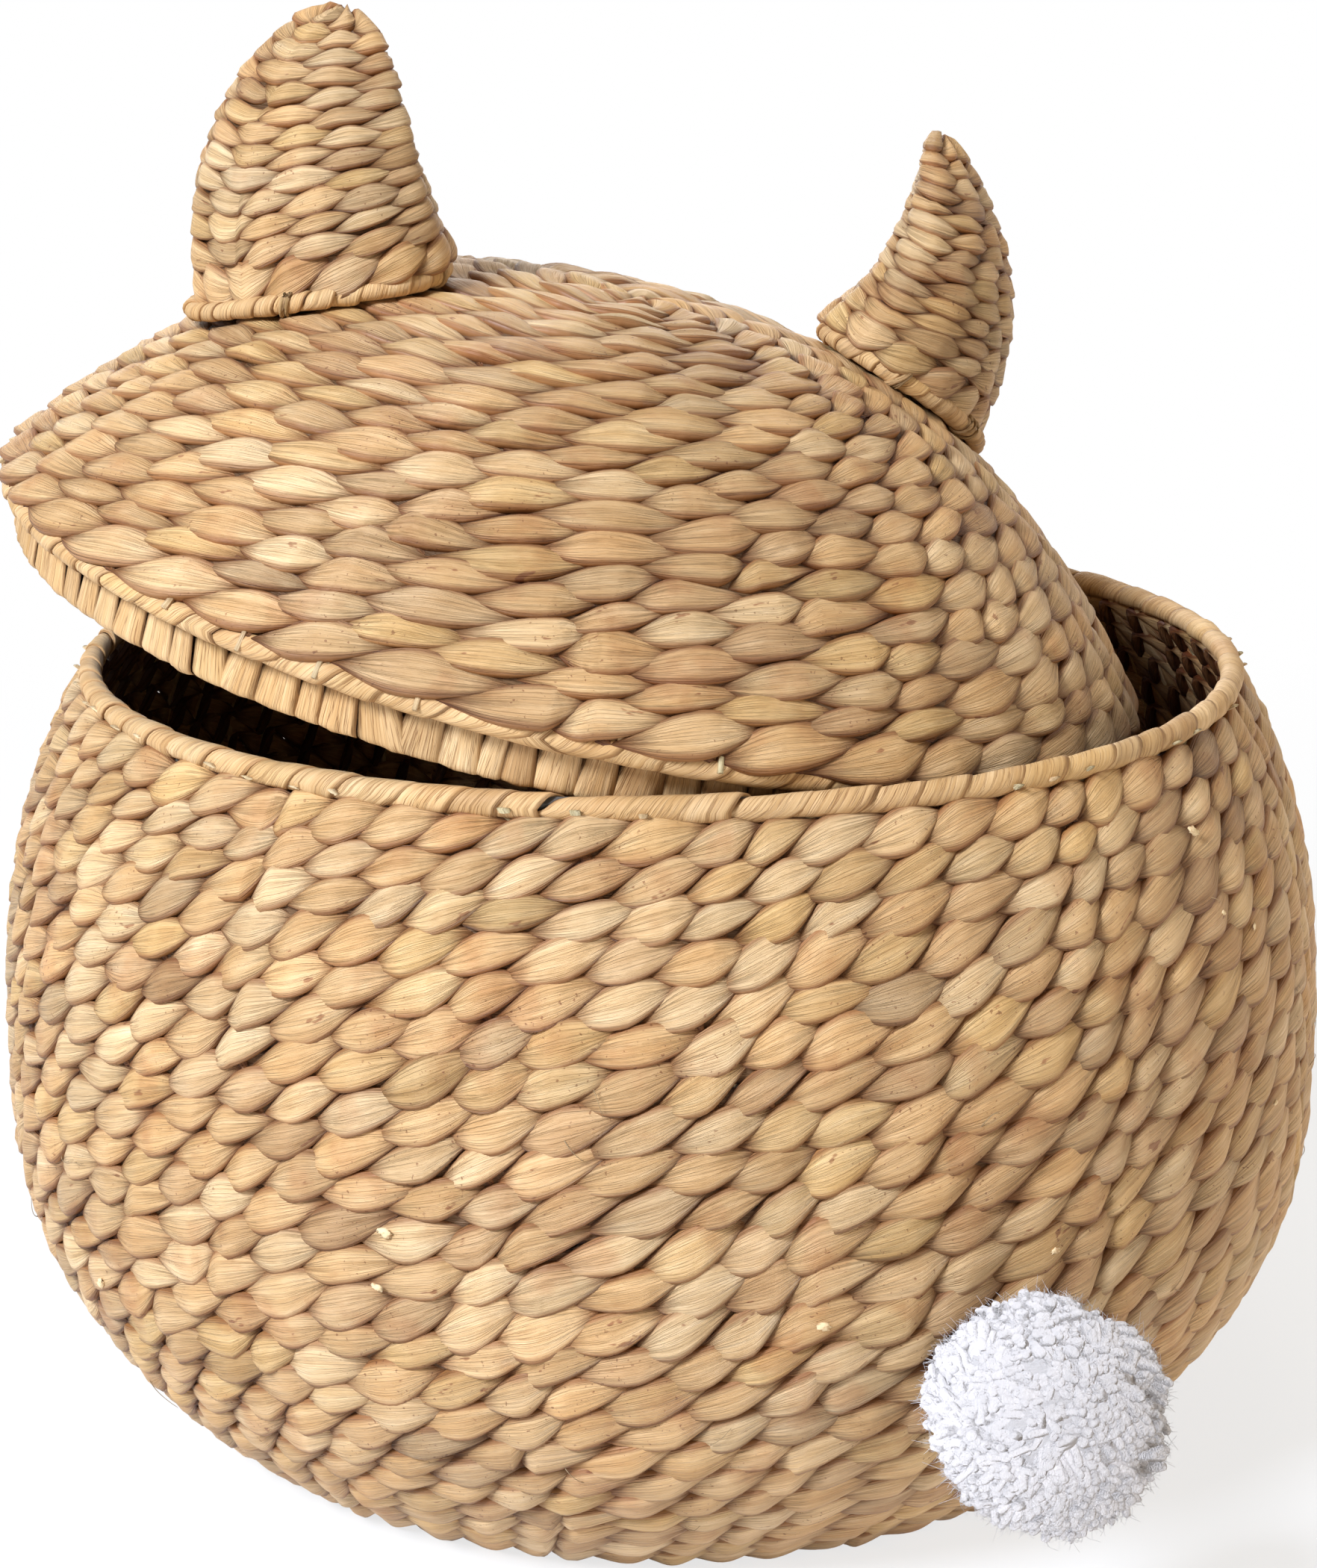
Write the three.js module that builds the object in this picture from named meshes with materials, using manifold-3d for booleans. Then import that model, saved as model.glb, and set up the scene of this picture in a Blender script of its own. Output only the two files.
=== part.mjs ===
// A twined storage basket in the form of a rabbit: an open bulbous body with a pompom tail, and a domed lid
// with two woven ears, set askew on the mouth. Millimetres, +Z up. The origin is the centre of the base on the
// floor. The tail is on -Y, so the rabbit faces +Y and its ears stand on -X and +X.
import * as THREE from 'three';
import { mergeVertices } from 'three/addons/utils/BufferGeometryUtils.js';
import Module from 'manifold-3d';

const wasm = await Module();
wasm.setup();

// Facets and fits
const aroundSteps = 30; // flats round the body and the lid
const wireSides = 5;
const tubeSides = 6; // sides of an ear's wrapped foot
const bindingSides = 7; // facets outside a slotted binding
const seatGap = 0.3; // left between two pieces that touch
const mouthClearance = 1.5; // between the collar and the mouth, all round

// Body: two power curves meet at the belly
const bellyRadius = 220;
const bellyHeight = 114;
const baseRadius = 162; // where the wall meets the floor
const lowerFullness = 2.4;
const upperFullness = 2.8;
const rimHeight = 248; // centre of the rim's hoop
const bodyWall = 10; // thickness of the woven wall
const bodyCoursePitch = 11.8;
const bodyRelief = 2.4; // depth of the groove between two courses
const innerRings = 8; // rings of facets on a smooth inner face
const weldDistance = 1e-4; // corners nearer than this are one

// Base
const baseThickness = 9;
const baseHoopWire = 2.5; // radius of the hoop in the corner

// Rim of the body
const rimRadius = 187; // centre line of the hoop
const neckSpread = 3; // how far outside the hoop the wall's line meets the rim's height
const rimWire = 2.2; // radius of the hoop's wire
const rimBinding = 4.5; // radius outside the wrapped strips
const rimGap = 4; // open band between the top course and the binding
const bodyStakes = 68;
const stakeWidth = 5;
const stakeThickness = 3;
const stakeRoot = 1; // how far a stake's end runs into the weave
const stakeClearance = 0.6; // on each side of a stake's end, between the lips of the binding

// Tail
const tailHeight = 85;
const pompomRadius = 35;
const pompomDepthShare = 0.92; // the yarn is pressed a little flat towards the wall
const pompomRings = 9;
const pompomSides = 16;
const tieRadius = 1.6;
const tieSocket = 12; // how far the tie reaches into the pompom
const knotRadius = 7;
const knotLength = 9;
const knotRings = 4;
const tieSides = 10;

// Lid, in its own frame: its rim lies in the plane z = 0
const lidTube = 3.9; // radius outside the lid's wrapped strips
const lidWire = 1.8;
const lidStakes = 38;
const lidStakeGap = 1.3; // open band between the last course and the binding
const domeOverhang = 0.5; // the last course stands this far outside the binding
const domeHeight = 96; // outside, above the rim's plane
const domeFullness = 2.6;
const domeWall = 8;
const domeCoursePitch = 11.4;
const domeRelief = 2.2;

// Collar that drops into the mouth
const collarThickness = 7;
const collarDepth = 17.2; // below the rim's plane
const collarRise = 1.5; // above the rim's plane
const collarWire = 1.7;
const collarSkin = 1.5; // thickness of the wrapped strips
const collarCorner = 2.4; // rounding of the wrap over the hoops

// Ears, in the lid's frame
const earInset = 89.6; // from the dome's edge to the middle of each foot
const earForward = 12;
const earSplay = 4; // how much further out a tip is than its foot
const earTipForward = 40;
const earCurl = 2; // an ear stands up first and curls forward towards its tip
const earTipHeight = 160; // above the rim's plane
const earBulge = 10; // how far the middle bows outward
const earTurn = 45; // degrees that the broad face turns outward
const earHalfWidth = 42;
const earHalfDepth = 30;
const earWidthFullness = 1.9;
const earThinShare = 0.68; // share of its depth that an ear loses towards the tip
const earTipFullness = 6;
const earWall = 7.5;
const earHollowShare = 0.78; // share of its height that is hollow
const earInnerRings = 4;
const earCourses = 12;
const earEasing = 0.9; // under 1, the courses grow finer towards the tip
const earRelief = 1.6;
const earSides = 16;
const earBinding = 3.4; // radius of the wrapped foot
const earWire = 1.5;
const earWireInset = 3.2; // from the hollow's face to the middle of the wire
const earWireShares = [0, 0.25, 0.5, 0.65]; // heights along the ear that the wire passes
const earWireSteps = 18;

// How the lid lies on the mouth
const lidTilt = 13.4; // degrees
const lidLowSide = -32; // degrees round from +X, the side that drops into the mouth
const lidShift = 28;
const lidShiftSide = 157; // degrees round from +X, the side that it is pushed to
const lidTwist = -7.5; // degrees, of the ears against the tail
const seatSamples = 1440; // places round the lid that are tried against the rim
const seatSteps = 24; // places round the lid's binding

const radians = THREE.MathUtils.degToRad;
const overrun = 5; // past a face, for every cut

// Helpers

// A closed mesh from any geometry: vertices merged, empty triangles dropped, faces pointing out.
function solid(geometry) {
  const plain = geometry.clone();
  for (const name of ['normal', 'uv', 'uv1']) plain.deleteAttribute(name);
  const merged = mergeVertices(plain, weldDistance);
  const index = Array.from(merged.index.array);
  const position = merged.attributes.position;
  const faces = [];
  for (let i = 0; i < index.length; i += 3) {
    const [a, b, c] = index.slice(i, i + 3);
    if (a !== b && b !== c && c !== a) faces.push([a, b, c]);
  }
  const corner = (i) => new THREE.Vector3().fromBufferAttribute(position, i);
  let volume = 0;
  for (const [a, b, c] of faces) volume += corner(a).dot(corner(b).cross(corner(c)));
  const ordered = faces.map(([a, b, c]) => (volume > 0 ? [a, b, c] : [a, c, b]));
  merged.setIndex(ordered.flat());
  return merged;
}

// A skin through rings of points, one after another, each with as many points.
function skin(rings) {
  const positions = rings.flat().flatMap((p) => [p.x, p.y, p.z]);
  const count = rings[0].length;
  const faces = [];
  for (let row = 0; row + 1 < rings.length; row += 1) {
    for (let i = 0; i < count; i += 1) {
      const next = (i + 1) % count;
      const [a, b] = [row * count + i, row * count + next];
      faces.push(a, b, a + count, b, b + count, a + count);
    }
  }
  const geometry = new THREE.BufferGeometry();
  geometry.setAttribute('position', new THREE.Float32BufferAttribute(positions, 3));
  geometry.setIndex(faces);
  return solid(geometry);
}

// A ring of equal points, for the end of a skin.
const pole = (point, count) => Array.from({ length: count }, () => point.clone());

// A body of revolution about Z from [radius, height] points.
function revolve(profile, sides = aroundSteps) {
  const points = profile.map(([radius, height]) => new THREE.Vector2(radius, height));
  return solid(new THREE.LatheGeometry(points, sides).rotateX(Math.PI / 2));
}

function closedRevolve(profile, sides = aroundSteps) {
  return revolve([...profile, profile[0]], sides);
}

// A round hoop of wire in a level plane.
function hoop(radius, wire, height) {
  const profile = [];
  for (let i = 0; i < wireSides; i += 1) {
    const turn = ((i + 0.5) / wireSides) * 2 * Math.PI;
    profile.push([radius + wire * Math.sin(turn), height - wire * Math.cos(turn)]);
  }
  return closedRevolve(profile);
}

// A wrapped binding round a hoop, open along a slot where the stakes come in.
function slottedBinding(radius, outer, bore, slot, side) {
  const arc = (size, from, to, count) => {
    const points = [];
    for (let i = 0; i <= count; i += 1) {
      const turn = from + ((to - from) * i) / count;
      points.push([radius + size * Math.sin(turn), side * size * Math.cos(turn)]);
    }
    return points;
  };
  const outerLip = Math.asin(slot / outer);
  const innerLip = Math.asin(slot / bore);
  return closedRevolve([
    ...arc(outer, outerLip, 2 * Math.PI - outerLip, bindingSides),
    ...arc(bore, 2 * Math.PI - innerLip, innerLip, wireSides),
  ]);
}

// Points of a woven face along an outline: a groove between two courses and a crest on each.
function coursed(outline, pitch, relief) {
  const courses = Math.round(outline.getLength() / pitch);
  const points = [];
  for (let i = 0; i <= 2 * courses; i += 1) {
    const place = outline.getPointAt(i / (2 * courses));
    const tangent = outline.getTangentAt(i / (2 * courses));
    const depth = i % 2 === 0 ? relief : 0;
    points.push([place.x - tangent.y * depth, place.y + tangent.x * depth]);
  }
  return points;
}

// The share of a corner's radius at which a flat lies, at any angle round the axis. The corners start from -Y.
const flatShare = (angle) => {
  const step = (2 * Math.PI) / aroundSteps;
  const fromStart = angle + Math.PI / 2 + 2 * Math.PI;
  return Math.cos(step / 2) / Math.cos((fromStart % step) - step / 2);
};

function toManifold(geometry) {
  return new wasm.Manifold(new wasm.Mesh({
    numProp: 3,
    vertProperties: new Float32Array(geometry.attributes.position.array),
    triVerts: new Uint32Array(geometry.index.array),
  }));
}

function fromManifold(manifold) {
  const mesh = manifold.getMesh();
  const result = new THREE.BufferGeometry();
  result.setAttribute('position', new THREE.BufferAttribute(mesh.vertProperties, 3));
  result.setIndex(new THREE.BufferAttribute(mesh.triVerts, 1));
  return result;
}

const cut = (geometry, tool) => fromManifold(toManifold(geometry).subtract(toManifold(tool)));

// A woven shell with the ends of its stakes standing out of its edge, in a ring.
function withStakes(shell, count, radius, from, to) {
  let joined = toManifold(shell);
  for (let i = 0; i < count; i += 1) {
    const stake = new THREE.BoxGeometry(stakeThickness, stakeWidth, to - from);
    const angle = (i / count) * 2 * Math.PI;
    stake.translate(radius * flatShare(angle), 0, (from + to) / 2);
    stake.rotateZ(angle);
    joined = joined.add(toManifold(solid(stake)));
  }
  return fromManifold(joined);
}

// Materials
const finish = (color, roughness, metalness = 0) => new THREE.MeshStandardMaterial({ color, roughness, metalness });
const straw = finish(0xc39c68, 0.72);
const strip = finish(0xcba878, 0.65);
const wire = finish(0x5a5750, 0.45, 0.9);
const yarn = finish(0xf1ece2, 0.95);

function piece(name, geometry, material) {
  const mesh = new THREE.Mesh(geometry, material);
  mesh.name = name;
  return mesh;
}

// Body outline

const neckRadius = rimRadius + neckSpread;

function bodyRadiusAt(height) {
  if (height < bellyHeight) {
    const below = (bellyHeight - height) / bellyHeight;
    return bellyRadius - (bellyRadius - baseRadius) * below ** lowerFullness;
  }
  const above = (height - bellyHeight) / (rimHeight - bellyHeight);
  return bellyRadius - (bellyRadius - neckRadius) * above ** upperFullness;
}

// How much longer a level cut through a sloping wall is than the wall is thick.
function slantAt(height) {
  const step = bodyWall / 2;
  const slope = (bodyRadiusAt(height + step) - bodyRadiusAt(Math.max(height - step, 0)))
    / (height + step - Math.max(height - step, 0));
  return Math.hypot(1, slope);
}

const bodyInnerRadiusAt = (height) => bodyRadiusAt(height) - bodyWall * slantAt(height);

const wallTop = rimHeight - rimBinding - rimGap;

class BodyOutline extends THREE.Curve {
  getPoint(share) {
    const height = share * wallTop;
    return new THREE.Vector2(bodyRadiusAt(height), height);
  }
}

// Body pieces

function makeBase() {
  const edge = (height) => bodyInnerRadiusAt(height) - seatGap * slantAt(height);
  return revolve([[0, 0], [edge(0), 0], [edge(baseThickness), baseThickness], [0, baseThickness]]);
}

function makeWall() {
  const outside = coursed(new BodyOutline(), bodyCoursePitch, bodyRelief);
  outside[0] = [baseRadius, 0];
  outside[outside.length - 1] = [bodyRadiusAt(wallTop) - bodyRelief, wallTop];
  const inside = [];
  for (let i = innerRings; i >= 0; i -= 1) {
    const height = baseThickness + ((wallTop - baseThickness) * i) / innerRings;
    inside.push([bodyInnerRadiusAt(height), height]);
  }
  inside.push([bodyInnerRadiusAt(0), 0]);
  const shell = closedRevolve([...outside, ...inside]);
  const reach = bellyRadius + overrun;
  const hole = new THREE.CylinderGeometry(tieRadius + seatGap, tieRadius + seatGap, reach, tieSides);
  hole.translate(0, -reach / 2, 0);
  hole.translate(0, 0, tailHeight);
  const crowned = withStakes(shell, bodyStakes, rimRadius, wallTop - stakeRoot, rimHeight - rimWire - seatGap);
  return cut(crowned, solid(hole));
}

function makeBaseHoop() {
  const height = baseThickness + seatGap + baseHoopWire;
  const radius = bodyInnerRadiusAt(height) - (baseHoopWire + seatGap) * slantAt(height);
  return hoop(radius, baseHoopWire, height);
}

const tailSlant = slantAt(tailHeight);
const pompomDepth = pompomRadius * pompomDepthShare;
const pompomDistance = bodyRadiusAt(tailHeight) + (pompomDepth + seatGap) * tailSlant;
const tieEnd = pompomDistance - pompomDepth + tieSocket;

function makePompom() {
  const ball = new THREE.SphereGeometry(pompomRadius, pompomSides, pompomRings);
  ball.scale(1, pompomDepthShare, 1);
  ball.translate(0, -pompomDistance, tailHeight);
  const reach = pompomDepth + overrun;
  const socket = new THREE.CylinderGeometry(tieRadius + seatGap, tieRadius + seatGap, reach, tieSides);
  socket.translate(0, reach / 2 - tieEnd - seatGap, tailHeight);
  return cut(solid(ball), solid(socket));
}

function makeTailTie() {
  const lean = Math.sqrt(tailSlant ** 2 - 1) + Math.tan(Math.PI / aroundSteps);
  const innerFace = bodyInnerRadiusAt(tailHeight) - knotRadius * lean - seatGap;
  const profile = [[0, innerFace - knotLength]];
  for (let i = 1; i < knotRings; i += 1) {
    const turn = (i / knotRings) * Math.PI;
    profile.push([knotRadius * Math.sin(turn), innerFace - (knotLength * (1 + Math.cos(turn))) / 2]);
  }
  profile.push([tieRadius, innerFace], [tieRadius, tieEnd], [0, tieEnd]);
  const tie = revolve(profile, tieSides);
  tie.rotateX(Math.PI / 2);
  tie.translate(0, 0, tailHeight);
  return tie;
}

const body = new THREE.Group();
body.add(
  piece('basket_base', makeBase(), straw),
  piece('basket_wall', makeWall(), straw),
  piece('base_hoop', makeBaseHoop(), wire),
  piece('tail_pompom', makePompom(), yarn),
  piece('tail_tie', makeTailTie(), yarn),
);

const rim = new THREE.Group();
rim.position.z = rimHeight;
rim.add(
  piece('rim_hoop', hoop(rimRadius, rimWire, 0), wire),
  piece('rim_binding', slottedBinding(
    rimRadius, rimBinding, rimWire + seatGap, stakeThickness / 2 + stakeClearance, -1,
  ), strip),
);
body.add(rim);

// Lid outline

const collarRadius = rimRadius - rimBinding - mouthClearance;
const lidRadius = collarRadius + seatGap + lidTube;
const domeEdge = lidTube + lidStakeGap;
const domeRadius = lidRadius + lidTube + domeOverhang;
const earSpread = domeRadius - earInset; // from the lid's centre

const domeHeightAt = (radius) => domeEdge + (domeHeight - domeEdge) * (1 - (radius / domeRadius) ** domeFullness);

function domeNormalAt(radius) {
  const fall = ((domeHeight - domeEdge) * domeFullness * (radius / domeRadius) ** (domeFullness - 1)) / domeRadius;
  return new THREE.Vector2(fall, 1).normalize();
}

class DomeOutline extends THREE.Curve {
  getPoint(share) {
    const radius = domeRadius * (1 - share);
    return new THREE.Vector2(radius, domeHeightAt(radius));
  }
}

function makeDome() {
  const outside = coursed(new DomeOutline(), domeCoursePitch, domeRelief);
  outside[0] = [domeRadius - domeRelief / 2, domeEdge];
  outside[outside.length - 1] = [0, domeHeight];
  const edgeNormal = domeNormalAt(domeRadius);
  const innerRadius = domeRadius - domeWall / edgeNormal.x;
  const innerRise = domeHeight - domeEdge - domeWall;
  const inside = [];
  for (let i = 0; i <= innerRings; i += 1) {
    const share = (innerRings - i) / innerRings;
    inside.push([innerRadius * share, domeEdge + innerRise * (1 - share ** domeFullness)]);
  }
  const shell = revolve([...inside.reverse(), ...outside]);
  return withStakes(shell, lidStakes, lidRadius, lidWire + seatGap, domeEdge + stakeRoot);
}

// Collar: an upper and a lower hoop inside a sleeve of wrapped strips that stays open along its top.
const collarMiddle = collarRadius - collarThickness / 2;
const collarLip = collarSkin + collarCorner / 2; // how deep the top edge of the wrap is
const collarSlot = collarThickness / 2 - collarLip;

function makeCollarWrap() {
  const outer = collarThickness / 2;
  const inner = outer - collarSkin;
  const top = collarRise;
  const bottom = -collarDepth;
  return closedRevolve([
    [collarMiddle + collarSlot, top],
    [collarMiddle + outer - collarCorner, top],
    [collarMiddle + outer, top - collarCorner],
    [collarMiddle + outer, bottom + collarCorner],
    [collarMiddle + outer - collarCorner, bottom],
    [collarMiddle - outer + collarCorner, bottom],
    [collarMiddle - outer, bottom + collarCorner],
    [collarMiddle - outer, top - collarCorner],
    [collarMiddle - outer + collarCorner, top],
    [collarMiddle - collarSlot, top],
    [collarMiddle - inner, top - collarLip],
    [collarMiddle - inner, bottom + collarSkin],
    [collarMiddle + inner, bottom + collarSkin],
    [collarMiddle + inner, top - collarLip],
  ]);
}

const collarLowerHoop = -collarDepth + collarSkin + seatGap + collarWire;
const collarUpperHoop = collarRise - collarLip - seatGap - collarWire;

// Ears. A place on an ear has a share of its height and a turn round it; the foot follows the dome.
function earShape(side) {
  const turn = radians(side > 0 ? earTurn : 180 - earTurn);
  const size = (share) => ({
    width: earHalfWidth * Math.sqrt(1 - share ** earWidthFullness),
    depth: earHalfDepth * (1 - earThinShare * share) * Math.sqrt(1 - share ** earTipFullness),
  });
  const flat = (share, angle, inset) => {
    const { width, depth } = size(share);
    const along = Math.max(width - inset, 0) * Math.cos(angle);
    const across = Math.max(depth - inset, 0) * Math.sin(angle);
    const out = earSpread + earSplay * share + 4 * earBulge * share * (1 - share);
    const forward = earForward + (earTipForward - earForward) * share ** earCurl;
    return new THREE.Vector2(
      side * out + along * Math.cos(turn) - across * Math.sin(turn),
      forward + along * Math.sin(turn) + across * Math.cos(turn),
    );
  };
  const footAt = (angle, inset) => {
    const place = flat(0, angle, inset);
    return domeHeightAt(place.length());
  };
  const at = (share, angle, inset, lift) => {
    const place = flat(share, angle, inset);
    const foot = footAt(angle, inset) + lift;
    return new THREE.Vector3(place.x, place.y, foot + (earTipHeight - foot) * share);
  };
  return { flat, at };
}

const turns = (count) => Array.from({ length: count }, (_, i) => (i / count) * 2 * Math.PI);

// The wrapped foot lies on the dome: its middle stands off along the dome's normal.
function makeEarBinding(side) {
  const { flat } = earShape(side);
  const step = Math.PI / earSides;
  const rings = turns(earSides).map((angle) => {
    const place = flat(0, angle, 0);
    const [before, after] = [angle - step, angle + step].map((a) => flat(0, a, 0));
    const along = after.sub(before).normalize();
    const slope = domeNormalAt(place.length());
    const up = new THREE.Vector3(
      (slope.x * place.x) / place.length(), (slope.x * place.y) / place.length(), slope.y,
    );
    const out = new THREE.Vector3(along.y, -along.x, 0);
    out.addScaledVector(up, -out.dot(up)).normalize();
    const middle = new THREE.Vector3(place.x, place.y, domeHeightAt(place.length()));
    middle.addScaledVector(up, earBinding + seatGap);
    return turns(tubeSides).map((a) => middle.clone()
      .addScaledVector(out, earBinding * Math.cos(a))
      .addScaledVector(up, earBinding * Math.sin(a)));
  });
  return skin([...rings, rings[0]]);
}

function makeEar(side) {
  const { at } = earShape(side);
  const lift = (2 * earBinding + 2 * seatGap) / domeNormalAt(earSpread).y;
  const ring = (share, inset) => turns(earSides).map((angle) => at(share, angle, inset, lift));
  const outside = [];
  for (let i = 0; i < 2 * earCourses; i += 1) {
    const share = (i / (2 * earCourses)) ** earEasing;
    outside.push(ring(share, i % 2 === 0 ? earRelief : 0));
  }
  const hollow = [];
  for (let i = 0; i <= earInnerRings; i += 1) {
    hollow.push(ring((earHollowShare * i) / earInnerRings, earWall));
  }
  const top = new THREE.Vector3();
  for (const place of ring(earHollowShare, earWall)) top.addScaledVector(place, 1 / earSides);
  const tip = at(1, 0, 0, lift);
  return skin([
    pole(top, earSides),
    ...hollow.reverse(),
    ...outside,
    pole(tip, earSides),
  ]);
}

function makeEarWire(side) {
  const { at } = earShape(side);
  const inset = earWall + earWireInset;
  const foot = (seatGap + earWire) / domeNormalAt(earSpread).y;
  const climb = earWireShares.map((share) => at(share, 0, inset, foot));
  const descend = earWireShares.map((share) => at(share, Math.PI, inset, foot)).reverse();
  const top = climb.at(-1).clone().add(descend[0]).multiplyScalar(0.5);
  top.z += earWire;
  const path = new THREE.CatmullRomCurve3([...climb, top, ...descend]);
  const section = new THREE.Shape(turns(wireSides).map((a) => (
    new THREE.Vector2(earWire * Math.cos(a), earWire * Math.sin(a)))));
  const sweep = { steps: earWireSteps, bevelEnabled: false, extrudePath: path };
  return solid(new THREE.ExtrudeGeometry(section, sweep));
}

// The seat: the lowest the lid can lie at its tilt and shift without touching the rim of the body.

function lidRotation() {
  const low = radians(lidLowSide);
  const axis = new THREE.Vector3(-Math.sin(low), Math.cos(low), 0);
  const tilt = new THREE.Quaternion().setFromAxisAngle(axis, radians(lidTilt));
  const twist = new THREE.Quaternion().setFromAxisAngle(new THREE.Vector3(0, 0, 1), radians(lidTwist));
  return tilt.multiply(twist);
}

function seatHeight(rotation, shift) {
  const profile = [
    [collarRadius, -collarDepth + collarCorner],
    [collarRadius - collarCorner, -collarDepth],
    [collarRadius, 0],
  ];
  for (const angle of turns(seatSteps)) {
    profile.push([lidRadius + lidTube * Math.cos(angle), lidTube * Math.sin(angle)]);
  }
  const reach = rimBinding + seatGap;
  let height = 0;
  for (const angle of turns(seatSamples)) {
    for (const [radius, level] of profile) {
      const place = radius * flatShare(angle);
      const point = new THREE.Vector3(place * Math.cos(angle), place * Math.sin(angle), level);
      point.applyQuaternion(rotation).add(shift);
      const distance = Math.hypot(point.x, point.y) / flatShare(Math.atan2(point.y, point.x));
      const aside = distance - rimRadius;
      if (Math.abs(aside) < reach) {
        height = Math.max(height, rimHeight + Math.sqrt(reach ** 2 - aside ** 2) - point.z);
      }
    }
  }
  return height;
}

const lid = new THREE.Group();
const shift = new THREE.Vector3(lidShift, 0, 0);
shift.applyAxisAngle(new THREE.Vector3(0, 0, 1), radians(lidShiftSide));
lid.quaternion.copy(lidRotation());
lid.position.copy(shift);
lid.position.z = seatHeight(lid.quaternion, shift);
lid.add(
  piece('lid_dome', makeDome(), straw),
  piece('lid_hoop', hoop(lidRadius, lidWire, 0), wire),
  piece('lid_binding', slottedBinding(
    lidRadius, lidTube, lidWire + seatGap, stakeThickness / 2 + stakeClearance, 1,
  ), strip),
  piece('collar_upper_hoop', hoop(collarMiddle, collarWire, collarUpperHoop), wire),
  piece('collar_lower_hoop', hoop(collarMiddle, collarWire, collarLowerHoop), wire),
  piece('collar_wrap', makeCollarWrap(), strip),
);
for (const [name, side] of [['left', -1], ['right', 1]]) {
  lid.add(
    piece(`ear_${name}`, makeEar(side), straw),
    piece(`ear_${name}_wire`, makeEarWire(side), wire),
    piece(`ear_${name}_binding`, makeEarBinding(side), strip),
  );
}

const basket = new THREE.Group();
basket.add(body, lid);

export default basket;
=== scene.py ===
"""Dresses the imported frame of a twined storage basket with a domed, eared lid.

Every course is woven as two strands that twine round each other from stake to stake, so the leaf-shaped
turns of the weave are real shapes. Lengths are in millimetres until a mesh is made, and the axes are the
frame's: +Z up, the tail on -Y.
"""

import math

import bpy
import numpy as np
from bpy.props import FloatProperty, FloatVectorProperty, IntProperty, PointerProperty
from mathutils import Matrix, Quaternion, Vector


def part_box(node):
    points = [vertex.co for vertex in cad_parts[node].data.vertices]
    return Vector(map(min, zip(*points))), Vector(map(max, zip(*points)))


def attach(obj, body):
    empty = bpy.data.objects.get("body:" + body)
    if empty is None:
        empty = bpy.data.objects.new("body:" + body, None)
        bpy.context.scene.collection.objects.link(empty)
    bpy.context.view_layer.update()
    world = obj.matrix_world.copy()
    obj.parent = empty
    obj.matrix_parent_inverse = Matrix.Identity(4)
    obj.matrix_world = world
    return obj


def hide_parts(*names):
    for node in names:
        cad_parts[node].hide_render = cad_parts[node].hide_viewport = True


bl_info = {
    "name": "Twined basket",
    "version": (1, 0, 0),
    "blender": (4, 5, 0),
    "location": "View3D > Sidebar > Basket",
    "description": "Weaves and finishes a lidded storage basket over its frame",
    "category": "Object",
}

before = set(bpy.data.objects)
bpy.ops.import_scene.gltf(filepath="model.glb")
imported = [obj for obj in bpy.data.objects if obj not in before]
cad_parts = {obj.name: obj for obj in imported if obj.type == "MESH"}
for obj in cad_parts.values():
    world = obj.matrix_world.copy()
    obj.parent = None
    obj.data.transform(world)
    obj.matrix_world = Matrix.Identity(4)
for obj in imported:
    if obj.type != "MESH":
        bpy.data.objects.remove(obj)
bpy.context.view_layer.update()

METRES = 0.001
TURN = 2 * math.pi
SEED = 11
SEAT_GAP = 0.3

# The frame's own outline, as the part's source has it: the basket
BELLY_RADIUS = 220
BELLY_HEIGHT = 114
BASE_RADIUS = 162
NECK_RADIUS = 190
LOWER_FULLNESS = 2.4
UPPER_FULLNESS = 2.8
RIM_HEIGHT = 248
RIM_RADIUS = 187
RIM_TUBE = 4.5
RIM_GAP = 4
WALL_TOP = RIM_HEIGHT - RIM_TUBE - RIM_GAP
WALL = 10
BASE_THICKNESS = 9

# The lid's collar and dome
COLLAR_RADIUS = 181
COLLAR_THICKNESS = 7
COLLAR_DEPTH = 17.2
COLLAR_RISE = 1.5
LID_TUBE = 3.9
LID_RADIUS = COLLAR_RADIUS + SEAT_GAP + LID_TUBE
DOME_EDGE = LID_TUBE + 1.3
DOME_RADIUS = LID_RADIUS + LID_TUBE + 0.5
DOME_HEIGHT = 96
DOME_FULLNESS = 2.6
DOME_WALL = 8

# The ears
EAR_SPREAD = 100
EAR_FORWARD = 12
EAR_TIP_SPREAD = 104
EAR_TIP_FORWARD = 40
EAR_CURL = 2
EAR_TIP_HEIGHT = 160
EAR_BULGE = 10
EAR_TURN = 45
EAR_HALF_WIDTH = 42
EAR_HALF_DEPTH = 30
EAR_LEAST = 0.5
EAR_WIDTH_FULLNESS = 1.9
EAR_THIN_SHARE = 0.68
EAR_TIP_FULLNESS = 6
EAR_WALL = 7.5
EAR_EASING = 0.9
EAR_TUBE = 3.4

# How the lid lies, in degrees
LID_TILT = 13.4
LID_LOW_SIDE = -32
LID_TWIST = -7.5


# Settings


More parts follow.
